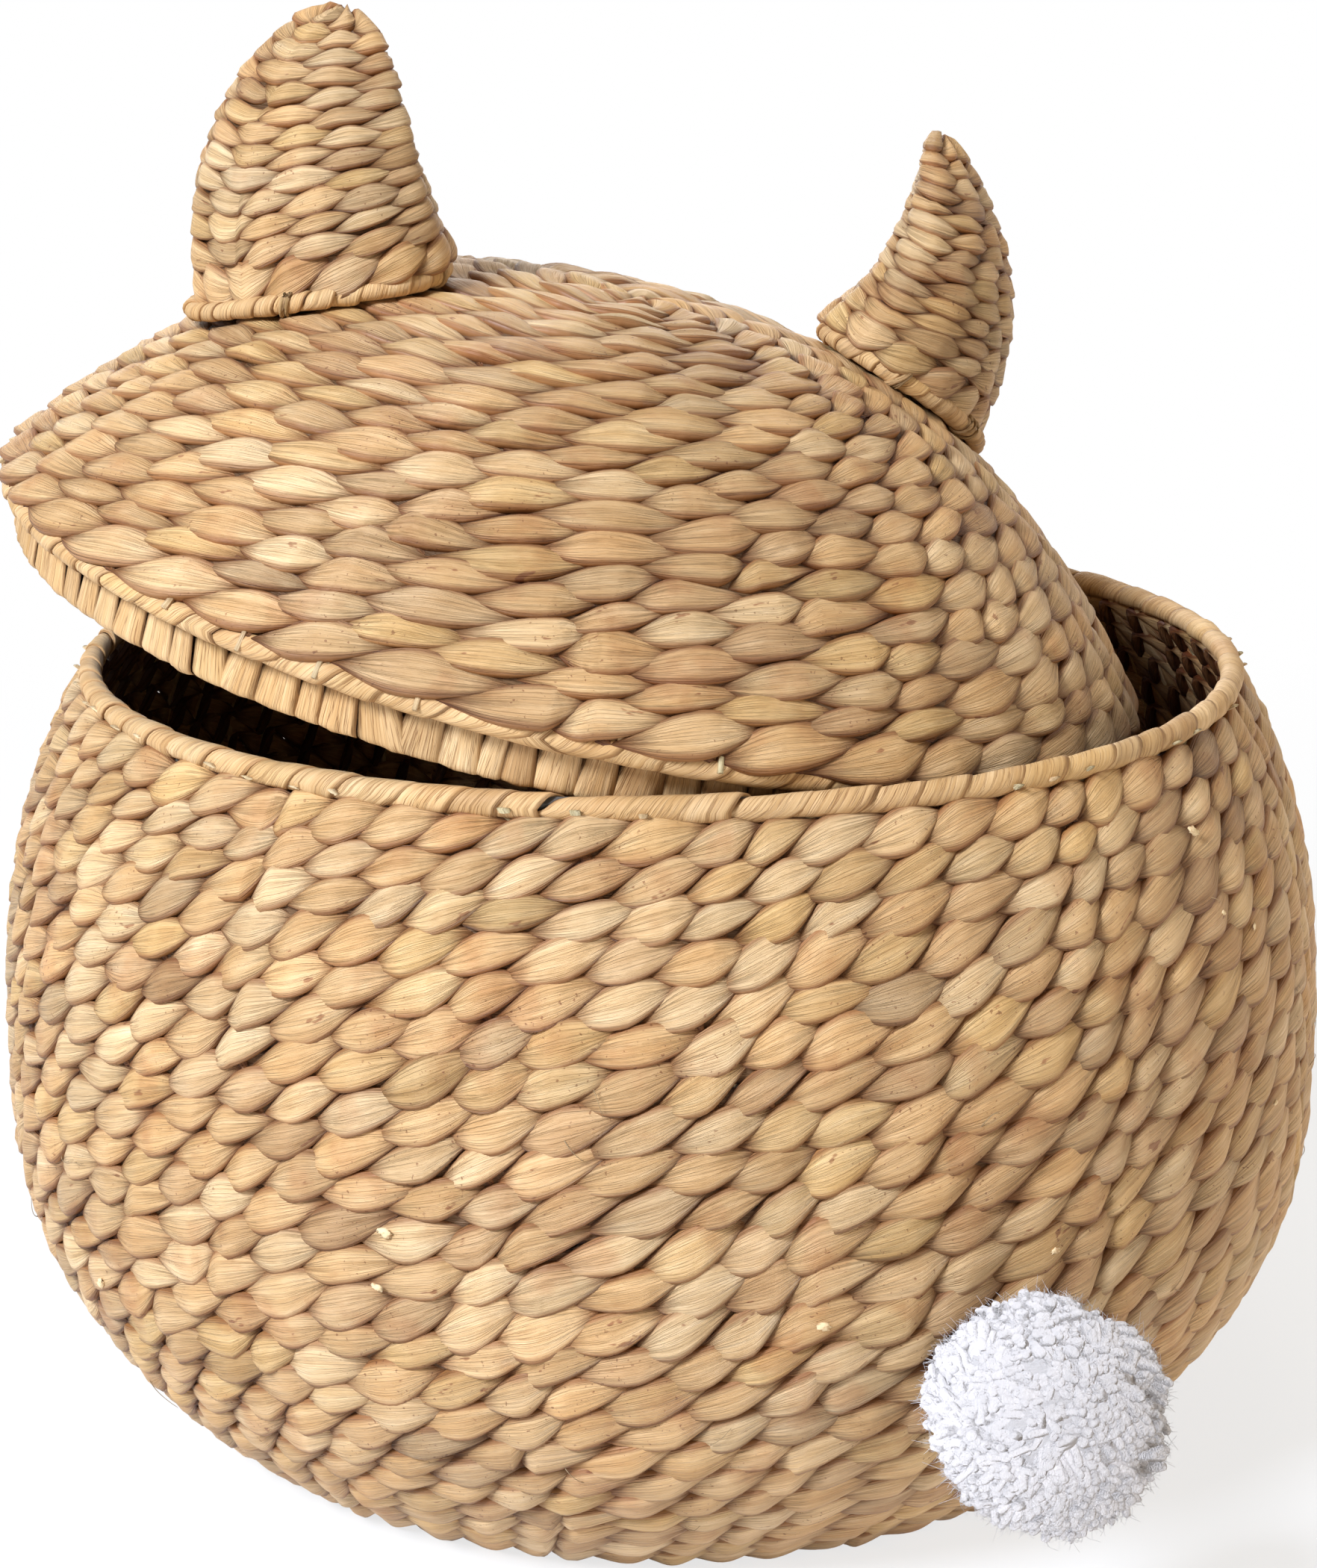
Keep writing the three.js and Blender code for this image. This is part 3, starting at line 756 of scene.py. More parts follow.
OUTSIDE_STEPS = 17
INSIDE_STEPS = 4
OUTSIDE_SHARE = 0.41
ROUNDING = 1e-9
INSIDE_WIDTH = 0.5
INSIDE_PAINTED_SHADE = 0.45
TIP_THINNING = 0.45
LEAF_SKEW = 0.05
LAP = math.radians(8)
SECTION_DEGREES = (-12, 14, 38, 64, 90, 116, 142, 166, 192, 240, 300)
EDGE_POWER = 0.85
FACE_POWER = 0.44
LINING_SIDES = 8
LINING_SHARE = 0.46
LINING_THICKNESS = 0.6
LINING_LUMPS = 0.2
LINING_PAINTED_SHADE = 0.5
NUDGE = 1e-3
WAVE_LENGTH = 90
STAKE_DRIFT = 0.16
FLOOR_CLEARANCE = 0.2


def even(count):
    """The nearest even number of stakes, at least six."""
    return max(6, 2 * round(count / 2))


def fibre_colours(count, colours, rng):
    """A colour for each turn of a strand."""
    palette = np.array([colours.tan, colours.pale, colours.rose, colours.honey, colours.grey, colours.brown])
    first = rng.choice(len(palette), size=count, p=FIBRE_SHARES)
    second = rng.choice(len(palette), size=count, p=FIBRE_SHARES)
    share = rng.uniform(0.0, FIBRE_MIXING, size=(count, 1))
    mixed = palette[first] * (1 - share) + palette[second] * share
    mixed = mixed * (1 - TAN_SHARE) + palette[0] * TAN_SHARE
    return mixed * varied(rng, FIBRE_SHADES, (count, 1))


class Twine:
    """How a pair of strands twines. Shares are of the course's width, the rest is in millimetres."""

    def __init__(self, swing, thickness, rise=0.43, width=0.55, tip=0.05, shingle=0.45, slant=None):
        self.swing = swing
        self.thickness = thickness
        self.rise = rise
        self.width = width
        self.tip = tip
        self.shingle = shingle
        self.slant = slant

    @property
    def reach(self):
        """How far the strands stand out from the middle of the weave."""
        return self.swing + self.thickness


class Course:
    """One course: its ring, the stakes it passes, how it twines and how its stakes lean.

    The ring gives points, the way up and the course's width at any angle.
    """

    def __init__(self, ring, lobes, twine, drift):
        self.ring = ring
        self.lobes = lobes
        self.twine = twine
        self.drift = drift
        self.last = False

    def place(self, angle):
        """Points, the ways up and out, the course's width and its mean radius."""
        points, upward, pitch = self.ring(angle)
        around = self.ring(angle + NUDGE)[0] - self.ring(angle - NUDGE)[0]
        radius = np.linalg.norm(around, axis=1).mean() / (2 * NUDGE)
        return points, upward, unit(np.cross(around, upward)), pitch, radius


def raised(points, upward, up, outward, out):
    """A row of points for each point, moved up and out."""
    return points[:, None] + up[..., None] * upward[:, None] + out[..., None] * outward[:, None]


def period_steps():
    """Places along one period of a strand, fine where it passes outside and coarse inside."""
    outside = np.linspace(-OUTSIDE_SHARE, OUTSIDE_SHARE, OUTSIDE_STEPS)
    inside = np.linspace(OUTSIDE_SHARE, 1 - OUTSIDE_SHARE, INSIDE_STEPS + 2)[1:-1]
    return np.concatenate([outside, inside])


def strand(course, which, colours, rng):
    """One of the two strands of a course. It shows outside at every other stake."""
    twine, lobes = course.twine, course.lobes
    periods = lobes // 2
    steps = period_steps()
    number = np.repeat(np.arange(periods), len(steps))
    within = np.tile(steps, periods)
    phase = TURN * within
    raw = TURN * (2 * (number + within) + which) / lobes
    angle = raw + TURN / lobes * course.drift(raw)
    outside = within <= OUTSIDE_SHARE + ROUNDING
    leaf = np.where(outside, within / OUTSIDE_SHARE, (0.5 - within) / (0.5 - OUTSIDE_SHARE))
    handover = np.clip((within - OUTSIDE_SHARE) / (1 - 2 * OUTSIDE_SHARE), 0, 1)
    handover = handover * handover * (3 - 2 * handover)

    def blended(values):
        """A value for each turn, passed on to the next while the strand is inside."""
        return passed_on(values, number, handover)

    width = blended(varied(rng, TURN_WIDTHS, periods))
    crest = blended(varied(rng, TURN_CRESTS, periods))
    lift = blended(rng.normal(0.0, TURN_LIFT, periods))
    slope = blended(varied(rng, TURN_SLOPES, periods))
    fullness = blended(varied(rng, TURN_FULLNESSES, periods))
    tones = blended(fibre_colours(periods, colours, rng))

    points, upward, outward, pitch, radius = course.place(angle)
    turned = 1.0 if twine.slant is None else twine.slant(angle)
    up = pitch * (twine.rise * slope * turned * leaf + lift * np.cos(phase / 2) ** 2)
    inward = np.cos(phase + LAP)
    out = twine.swing * inward * np.abs(inward) ** 0.5 * crest
    full = np.where(outside, twine.width * width, INSIDE_WIDTH)
    skewed = leaf + LEAF_SKEW * (1 - leaf * leaf)
    leaf_shape = np.cos(skewed * math.pi / 2).clip(0) ** fullness
    half_width = pitch * (twine.tip + (full - twine.tip) * leaf_shape)
    half_depth = twine.thickness * (1 - TIP_THINNING * np.abs(leaf) ** 3)

    turns = np.radians(SECTION_DEGREES)
    edge = squared(np.cos(turns), EDGE_POWER)
    face = squared(np.sin(turns), FACE_POWER)
    up = up[:, None] + half_width[:, None] * edge
    out = out[:, None] + half_depth[:, None] * face - twine.shingle * edge
    folds = blended(rng.normal(0, FOLD_DEPTH, (periods, len(turns))))
    out += folds * np.cos(leaf * math.pi / 2).clip(0)[:, None]

    tone = np.empty((len(angle), len(turns), 4))
    # Painted shade: the strand's colour darkens where it passes inside the wall, most at the middle of the
    # inside run
    inside = np.where(outside, 0.0, INSIDE_PAINTED_SHADE * (1 - np.abs(leaf)))
    tone[..., :3] = (tones * (1 - inside[:, None]))[:, None]
    tone[..., 3] = np.where(outside, np.abs(leaf), 1.0)[:, None]
    along = (2 * (number + within) * radius * TURN / lobes)[:, None]
    return Grid(raised(points, upward, up, outward, out), along, edge, tone, grain=rng.uniform(0, GRAINS))


def lining(course, colours, rng):
    """A flat band of loose fibre behind the seam above a course, so that no light comes through the weave.
    Its darkened brown is painted shade in the seams.
    """
    angle = turns_round(2 * course.lobes)
    points, upward, outward, pitch, radius = course.place(angle)
    pitch = np.broadcast_to(pitch, len(angle))
    turns = turns_round(LINING_SIDES)
    up = pitch[:, None] * (0.5 + LINING_SHARE * np.cos(turns))
    out = LINING_THICKNESS * np.sin(turns) + rng.normal(0, LINING_LUMPS, (len(angle), 1))
    # The lining's darkened brown is painted shade, seen through the seams
    tone = np.array([*(LINING_PAINTED_SHADE * np.array(colours.brown)), 0.5])
    body = raised(points, upward, up, outward, out)
    return Grid(body, (angle * radius)[:, None], np.cos(turns), tone, grain=rng.uniform(0, GRAINS))


def woven(courses, colours, rng):
    """Grids of the strands in some courses, with a lining over every seam between two courses."""
    grids = []
    for course in courses:
        grids += [strand(course, which, colours, rng) for which in (0, 1)]
        if not course.last:
            grids.append(lining(course, colours, rng))
    return grids


def grounded(grids):
    """The grids, with nothing lower than the floor's clearance."""
    for grid in grids:
        grid.points[..., 2] = np.maximum(grid.points[..., 2], FLOOR_CLEARANCE)
    return grids


def wander(rng, size, waves=(2, 3, 5, 7)):
    """A slow wave round a course, in millimetres."""
    phases = rng.uniform(0, TURN, len(waves))
    sizes = rng.normal(0, size / len(waves) ** 0.5, len(waves))
    return lambda angle, along: sum(
        s * np.sin(w * angle + p + along / WAVE_LENGTH) for w, p, s in zip(waves, phases, sizes))


def stake_drift(lobes, rng, size=STAKE_DRIFT):
    """How far each stake leans off its even place at the foot and at the top, in shares of the spacing."""
    foot = varied(rng, (0, size, -STAKE_LEAN, STAKE_LEAN), lobes)
    top = varied(rng, (0, size, -STAKE_LEAN, STAKE_LEAN), lobes)

    def at(share, own):
        """How the stakes lean at a share of the height, with a course's own strays."""
        values = foot * (1 - share) + top * share + own
        marks = np.arange(lobes + 1) * TURN / lobes
        return lambda angle: np.interp(np.mod(angle, TURN), marks, np.append(values, values[0]))

    return at


def course_edges(count, length, rng):
    """Where courses of uneven width begin and end along a length."""
    pitches = varied(rng, COURSE_WIDTHS, count)
    return np.concatenate([[0], np.cumsum(pitches)]) / pitches.sum() * length


def revolved_ring(outline, along, inset, pitch, wave):
    """The ring of a course that runs level round an outline."""
    def ring(angle):
        """Points, the way up and the width at an angle."""
        points, upward = outline.ring(along + wave(angle, along), inset, angle)
        return points, upward, pitch
    return ring


BAND_COURSES = 3
BAND_ARCS = 3
BODY_WAVE = 0.8
BODY_STRAY = 0.2
BODY_TWINE = Twine(swing=1.4, thickness=2.8, rise=0.48, width=0.59)
TOP_TWINE = Twine(swing=1.4, thickness=2.8, rise=0.42, width=0.55)
BASE_TWINE = Twine(swing=2.2, thickness=2.0)
BASE_HOLE = 4
BASE_OVERLAP = 0.75
BASE_SPACING = 18
BASE_WAVE = 0.2
DOME_TWINE = Twine(swing=1.5, thickness=2.2, rise=0.46, width=0.58)
DOME_HOLE = 4
DOME_WAVE = 0.7
DOME_STRAY = 0.16
DOME_PIECES = {"dome_edge": (0, 4), "dome_side": (4, 9), "dome_crown": (9, None)}


def body_rings(weave, rng):
    """The courses of the wall, and how its stakes lean."""
    outline = body_outline()
    edges = course_edges(weave.body_courses, outline.length, rng)
    wave = wander(rng, BODY_WAVE)
    drift = stake_drift(weave.body_stakes, rng)
    rings = []
    for low, high in zip(edges[:-1], edges[1:]):
        along = (low + high) / 2
        ring = revolved_ring(outline, along, BODY_TWINE.reach, high - low, wave)
        own = rng.normal(0, STAKE_STRAY, weave.body_stakes) + rng.normal(0, BODY_STRAY)
        rings.append(Course(ring, weave.body_stakes, BODY_TWINE, drift(along / outline.length, own)))
    rings[-1].last = True
    rings[-1].twine = TOP_TWINE
    return rings, drift


def base_rings(weave, rng):
    """The courses of the base, from its middle into the foot of the wall."""
    foot = body_radius(0) - WALL * BASE_OVERLAP
    outline = Outline([BASE_HOLE, foot], [BASE_THICKNESS / 2, BASE_THICKNESS / 2])
    courses = round(outline.length / (weave.base_pitch / METRES))
    pitch = outline.length / courses
    rings = []
    for course in range(courses):
        along = (course + 0.5) * pitch
        lobes = even(TURN * outline.at(along)[0] / BASE_SPACING)
        drift = stake_drift(lobes, rng)
        ring = revolved_ring(outline, along, 0, pitch, wander(rng, BASE_WAVE))
        rings.append(Course(ring, lobes, BASE_TWINE, drift(0.5, 0.0)))
    return rings


def dome_rings(weave, rng):
    """The courses of the dome. Stakes drop out towards its middle."""
    outline = dome_outline()
    edges = course_edges(weave.dome_courses, outline.length - DOME_HOLE, rng)
    wave = wander(rng, DOME_WAVE)
    rings = []
    drifts = {}
    for low, high in zip(edges[:-1], edges[1:]):
        along = (low + high) / 2
        radius = outline.at(along)[0]
        lobes = min(weave.dome_stakes, even(TURN * radius / (weave.dome_spacing / METRES)))
        if lobes not in drifts:
            drifts[lobes] = stake_drift(lobes, rng)
        ring = revolved_ring(outline, along, DOME_TWINE.reach, high - low, wave)
        own = rng.normal(0, STAKE_STRAY, lobes) + rng.normal(0, DOME_STRAY)
        rings.append(Course(ring, lobes, DOME_TWINE, drifts[lobes](along / outline.length, own)))
    return rings


EAR_REACH = 0.99
EAR_SINK = 0.03
EAR_SEAMS = {-1: math.radians(70), 1: math.radians(181)}
EAR_SEAM_REACH = math.radians(130)
EAR_SEAM_SLOPE = 2.0
EAR_DRIFT = 0.12
EAR_TIP_SHARES = (0.955, 0.975, 0.99, 1.0)
EAR_TIP_CLOSING = ((0.5, 0.8), (0.05, 1.0))
EAR_TIP_SIDES = 24
EAR_TIP_INSET = EAR_WALL / 2 - 2.2
EAR_TIP_LUMPS = 0.15
EAR_TIP_GRAIN = 8
FINE_TURN = np.linspace(0, TURN, 181)


def ear_tip(side, colours, rng):
    """A small woven cap over the end of an ear."""
    turns = turns_round(EAR_TIP_SIDES)
    rows = [ear_place(side, share, turns, EAR_TIP_INSET) for share in EAR_TIP_SHARES]
    middle = rows[-1].mean(0)
    inner = [middle + (rows[-1] - middle) * share + np.array([0, 0, lift]) for share, lift in EAR_TIP_CLOSING]
    body = np.stack(rows + inner)
    body += rng.normal(0, EAR_TIP_LUMPS, body.shape)
    tone = np.array([*colours.tan, 0.3])
    across = np.linspace(-1, 1, len(body))[:, None]
    return Grid(body, turns[None] * EAR_TIP_GRAIN, across, tone, closed_along=False)


def ear_rings(weave, side, rng):
    """The courses of an ear. Their turns slant the other way on one side of a seam."""
    courses = weave.ear_courses
    shares = (np.arange(courses + 1) / courses) ** EAR_EASING * EAR_REACH
    shares[0] = -EAR_SINK

    def slant(angle):
        """1 on one side of the seam, -1 on the other and smooth between."""
        past = np.mod(EAR_SEAMS[side] - angle, TURN)
        inside = np.minimum(past, EAR_SEAM_REACH - past)
        return 1 - 2 * np.clip(0.5 + inside * EAR_SEAM_SLOPE, 0, 1)

    twine = Twine(swing=1.4, thickness=1.9, width=0.58, shingle=0.4, slant=slant)
    inset = twine.reach
    rings = []
    for low, high in zip(shares[:-1], shares[1:]):
        share = (low + high) / 2
        marks = lengths_along(ear_place(side, share, FINE_TURN, inset))
        lobes = even(marks[-1] / (weave.ear_spacing / METRES))

        def ring(angle, low=low, high=high, share=share, marks=marks):
            """Points, the way up and the width at an angle, even along the course."""
            turns = np.floor(angle / TURN)
            true = np.interp((angle / TURN - turns) * marks[-1], marks, FINE_TURN) + turns * TURN
            points = ear_place(side, share, true, inset)
            rise = ear_place(side, high, true, inset) - ear_place(side, low, true, inset)
            return points, unit(rise), np.linalg.norm(rise, axis=1)

        drift = stake_drift(lobes, rng, EAR_DRIFT)
        rings.append(Course(ring, lobes, twine, drift(0.5, 0.0)))
    rings[-1].last = True
    return rings


# Wrapped strips


RIM_STRIP = 3.7
RIM_DROP = 0.6
LID_STRIP = 3.3
EAR_FOOT_INSET = 3.2
EAR_FOOT_TUBE = 2.9
EAR_FOOT_NUDGE = 0.02

# A strip's section, and how its turns vary
STRIP_STEPS = 14
STRIP_OVERLAP = 1.45
STRIP_ACROSS = np.array([-1.0, -0.8, -0.3, 0.3, 0.8, 1.0, 0.9, -0.9])
STRIP_CROWN = np.array([-0.75, -0.35, -0.05, 0.25, 0.35, 0.1, -0.9, -1.1])
STRIP_WIDTHS = (1.0, 0.12, 0.75, 1.25)
STRIP_SHIFT = 0.12
STRIP_BUMPS = 0.16
STRIP_WRINKLES = 0.10
STRIP_VEINS = 0.7
STRIP_SHARE = 0.45
STRIP_SHADES = 0.06

# The same for the collar's strips, with the corners of its section in millimetres
COLLAR_ACROSS = np.array([-1.0, -0.62, -0.2, 0.2, 0.62, 1.0, 0.7, -0.7])
COLLAR_CROWN = np.array([-0.9, 0.1, 0.55, 0.6, 0.25, -0.6, -1.3, -1.3])
COLLAR_WIDTHS = (6.5, 15)
COLLAR_VEINS = (0.1, 0.8)
COLLAR_LAP = 1.12
COLLAR_SKEW = 0.16
COLLAR_PLEATS = 0.22
COLLAR_LIFT = 0.25
COLLAR_TOP_CORNER = 2
COLLAR_LOW_CORNER = 2.4
COLLAR_STRAIGHT = 4
COLLAR_UNDER = 0.999


def circle(radius, height):
    """A level circle: its points, the way out and the way up, at a share round it."""
    def at(share):
        """The circle at a share of a turn."""
        turn = share * TURN
        return polar(radius, turn, height), polar(1, turn, 0), polar(0, turn, 1)
    return at


def strip_tones(count, colours, rng):
    """A colour for each strip or turn of one."""
    mixed = fibre_colours(count, colours, rng)
    strip = np.array(colours.strip) * rng.normal(1.0, STRIP_SHADES, (count, 1))
    return (1 - STRIP_SHARE) * mixed + STRIP_SHARE * strip


def wound(line, length, tube, advance, colours, rng):
    """A closed tube wound with a strip. Each turn laps over the last."""
    turns = round(length / advance)
    count = turns * STRIP_STEPS
    row = np.arange(count)
    own = row // STRIP_STEPS
    beta = TURN * row / STRIP_STEPS
    handover = np.clip((row % STRIP_STEPS) / STRIP_STEPS * 4 - 3, 0, 1)

    def blended(values):
        """A value for each turn, passed on where the strip is out of sight."""
        return passed_on(values, own, handover)

    widths = blended(varied(rng, STRIP_WIDTHS, turns))
    shift = blended(rng.normal(0.0, STRIP_SHIFT, turns))
    reach = STRIP_ACROSS * widths[:, None] * STRIP_OVERLAP / 2 + shift[:, None]
    points, out, up = line((row / count)[:, None] + reach * advance / length)
    bumps = blended(rng.normal(0, STRIP_BUMPS, turns))
    wrinkle = rng.normal(0, STRIP_WRINKLES, (turns, len(STRIP_ACROSS)))
    radius = tube + STRIP_CROWN + bumps[:, None] + blended(wrinkle)
    way = np.cos(beta)[:, None, None] * out + np.sin(beta)[:, None, None] * up
    body = points + radius[..., None] * way
    tone = np.empty((count, len(STRIP_ACROSS), 4))
    tone[..., :3] = blended(strip_tones(turns, colours, rng))[:, None]
    tone[..., 3] = blended(rng.uniform(0, STRIP_VEINS, turns))[:, None]
    return Grid(body, beta[:, None] * tube, STRIP_ACROSS, tone, grain=rng.uniform(0, GRAINS))


def ear_foot(side):
    """The line of an ear's wrapped foot on the dome, and its length."""
    def flat(angle):
        """The ear's foot from above."""
        return ear_place(side, 0.0, angle, 0.0)[..., :2]

    marks = lengths_along(flat(FINE_TURN))

    def at(share):
        """Points, the way out and the way up at a share round the foot."""
        angle = np.interp(np.mod(share, 1.0) * marks[-1], marks, FINE_TURN)
        place = flat(angle)
        way = unit(flat(angle + EAR_FOOT_NUDGE) - flat(angle - EAR_FOOT_NUDGE))
        distance = np.hypot(place[..., 0], place[..., 1])
        fall = dome_fall(distance)
        up = [fall * place[..., 0] / distance, fall * place[..., 1] / distance, np.ones_like(fall)]
        up = unit(np.stack(up, -1))
        out = np.stack([way[..., 1], -way[..., 0], 0 * fall], -1)
        out = unit(out - (out * up).sum(-1, keepdims=True) * up)
        points = np.concatenate([place, dome_height(distance)[..., None]], -1)
        return points + up * (EAR_TUBE + SEAT_GAP) - out * EAR_FOOT_INSET, out, up

    return at, marks[-1]


def collar_section():
    """The collar's section, down its outer face and up its inner one."""
    thick = COLLAR_THICKNESS / 2

    def corner(size, height, way):
        """Points round a corner."""
        return [
            (thick - size + size * math.cos(turn), height + way * (size * math.sin(turn) - size))
            for turn in np.linspace(0, math.pi / 2, 4)
        ]

    top = corner(COLLAR_TOP_CORNER, COLLAR_RISE, 1)[::-1]
    face = np.linspace(COLLAR_RISE - COLLAR_STRAIGHT, -COLLAR_DEPTH + COLLAR_STRAIGHT, 6)
    outer = top + [(thick, z) for z in face] + corner(COLLAR_LOW_CORNER, -COLLAR_DEPTH, -1)
    return np.array(outer + [(-x, z) for x, z in outer[::-1]])


def collar_strips(colours, rng):
    """Strips wrapped one by one over the collar's two hoops, each fanning out downward."""
    loop = collar_section()
    middle = COLLAR_RADIUS - COLLAR_THICKNESS / 2
    drop = np.clip((COLLAR_RISE - loop[:, 1]) / (COLLAR_RISE + COLLAR_DEPTH), 0, 1)
    out = np.where(loop[:, 0] > 0, 1.0, -1.0)
    fan = 0.74 + 0.36 * drop
    rising = 0.65 + 0.35 * drop
    grids = []
    angle = 0.0
    while angle < TURN:
        step = rng.uniform(*COLLAR_WIDTHS) / COLLAR_RADIUS
        skew = rng.normal(0, COLLAR_SKEW)
        half = step / 2 * fan * COLLAR_LAP
        centre = angle + step / 2 + skew * step * (drop - 0.5)
        place = centre[:, None] + COLLAR_ACROSS[None] * half[:, None]
        pleat = rng.normal(0, COLLAR_PLEATS, len(COLLAR_ACROSS))
        lift = rng.normal(0, COLLAR_LIFT)
        height = (COLLAR_CROWN + pleat + lift)[None] * rising[:, None]
        radius = middle + loop[:, None, 0] + height * out[:, None]
        z = loop[:, None, 1] + 0 * place
        z = np.where(drop[:, None] >= COLLAR_UNDER, z - np.maximum(height, 0) / 2, z)
        tone = np.empty((len(loop), len(COLLAR_ACROSS), 4))
        tone[..., :3] = strip_tones(1, colours, rng)[0]
        tone[..., 3] = rng.uniform(*COLLAR_VEINS)
        body = polar(radius, place, z)
        along = lengths_along(loop)[:, None]
        grids.append(Grid(body, along, COLLAR_ACROSS, tone, grain=rng.uniform(0, GRAINS)))
        angle += step
    return grids


# The tail


SIDE_HINT = np.array([0.31, 0.52, 0.79])


def tube(path, radius, sides, tone, rng, closed=False, flatness=1.0):
    """A round or flattened tube along points, thinner or thicker as radius says."""
    path = np.asarray(path, float)
    if closed:
        way = np.roll(path, -1, 0) - np.roll(path, 1, 0)
    else:
        way = np.gradient(path, axis=0)
    way = unit(way)
    side = unit(np.cross(way, SIDE_HINT))
    other = np.cross(way, side)
    turns = turns_round(sides)
    radius = np.broadcast_to(radius, len(path))[:, None, None]
    ring = np.cos(turns)[:, None] * side[:, None] + flatness * np.sin(turns)[:, None] * other[:, None]
    body = path[:, None] + radius * ring
    along = lengths_along(path)[:, None]
    return Grid(body, along, np.cos(turns) * 0.5, tone, closed_along=closed, grain=rng.uniform(0, GRAINS))


# Yarns: their radius and crimp in millimetres, and the rest in shares
YARN_RADIUS = 1.4
YARN_SIDES = 8
YARN_REACH = 0.85
YARN_START = 0.62
YARN_LENGTH = 0.44
YARN_LUMPS = 0.1
YARN_UNEVENNESS = 0.03
YARN_STRAY = 0.04
YARN_SAG = 0.16
YARN_FLOP = 0.4
YARN_FLOP_LIMIT = 0.85
YARN_CRIMP = 0.12
YARN_FLATNESS = 0.85
YARN_RADII = 0.16
YARN_CREVICE_LIGHT = 1.22
YARN_MIDDLE = 0.86
YARN_SHADES = (0.96, 1.02)
LOOSE_YARN_SHARE = 0.01
LOOSE_YARN_LENGTH = (1.1, 1.3)
LOOSE_YARN_FLOP = 0.4
TUFTS = 70
TUFT_FLOP = 0.6
CORE_SIZE = 0.93
CORE_LUMPS = 0.012
CORE_ROWS = 40
CORE_SIDES = 64
CORE_CUT = 0.03

# Hairs, their lengths and radii in millimetres
FLUFF = 24000
FLUFF_RADIUS = 0.08
FLUFF_SIDES = 3
FLUFF_LENGTHS = (0.8, 2.0)
FLUFF_FIRST_ROW = 4
FLUFF_OUT = 0.25
FLUFF_AHEAD = 0.35
FLUFF_STRAY = 0.5
FLUFF_BEND = 0.9


def pompom_yarns(count, colours, rng):
    """Cut yarns that stand out from the tail's middle and flop over in tufts, pressed flat at the wall."""
    low, high = (np.array(v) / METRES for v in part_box("tail_pompom"))
    centre = (low + high) / 2
    reach = (high[0] - low[0]) / 2 * YARN_REACH
    shade = np.array(colours.yarn)
    share = np.array([0.0, 0.25, 0.5, 0.7, 0.85, 0.94, 0.985, 1.0])
    swell = np.array([1.0, 1.0, 1.0, 1.0, 1.05, 1.0, 0.8, 0.35])
    # Painted light: the yarns are paler towards the middle of the ball, to lift the shade between them
    crevice_light = YARN_CREVICE_LIGHT + (1 - YARN_CREVICE_LIGHT) * share[:, None, None] ** 2
    share = share[:, None]
    golden = math.pi * (3 - math.sqrt(5))
    tufts = unit(rng.normal(0, 1, (TUFTS, 3)))
    flops = rng.normal(0, 1, (TUFTS, 3))
    lengths = rng.normal(YARN_LENGTH, YARN_LUMPS * YARN_LENGTH, TUFTS)
    yarns = []
    for number in range(count):
        height = 1 - 2 * (number + 0.5) / count
        way = polar(math.sqrt(1 - height * height), golden * number, height)
        way += rng.normal(0, YARN_STRAY, 3)
        way /= np.linalg.norm(way)
        tuft = np.argmax(tufts @ way)
        flop = flops[tuft] * TUFT_FLOP + rng.normal(0, 1, 3) * YARN_FLOP
        flop -= flop @ way * way
        flop *= min(1.0, YARN_FLOP_LIMIT / np.linalg.norm(flop))
        length = reach * (lengths[tuft] + rng.normal(0, YARN_UNEVENNESS))
        if rng.uniform() < LOOSE_YARN_SHARE:
            length *= rng.uniform(*LOOSE_YARN_LENGTH)
            flop *= LOOSE_YARN_FLOP
        path = centre + way * (reach * YARN_START + length * share * (1 - YARN_SAG * (flop @ flop) * share))
        path += length * share ** 2 * flop
        path += rng.normal(0, YARN_CRIMP, path.shape) * share
        path[:, 1] = np.minimum(path[:, 1], high[1])
        radius = YARN_RADIUS * rng.normal(1, YARN_RADII) * swell
        tone = np.ones((len(share), YARN_SIDES, 4))
        tone[..., :3] = shade * crevice_light * rng.uniform(*YARN_SHADES)
        flatness = rng.uniform(YARN_FLATNESS, 1)
        yarns.append(tube(path, radius, YARN_SIDES, tone, rng, flatness=flatness))
    tilt = np.linspace(CORE_CUT, math.pi - CORE_CUT, CORE_ROWS)[:, None]
    core = polar(np.sin(tilt), turns_round(CORE_SIDES)[None], np.cos(tilt))
    core = centre + core * reach * rng.normal(CORE_SIZE, CORE_LUMPS, (CORE_ROWS, CORE_SIDES, 1))
    core[..., 1] = np.minimum(core[..., 1], high[1])
    middle = Grid(core, 0.0, 0.0, np.array([*(shade * YARN_MIDDLE), 1.0]), closed_along=False)
    return yarns, [middle], fluff(yarns, colours, rng)


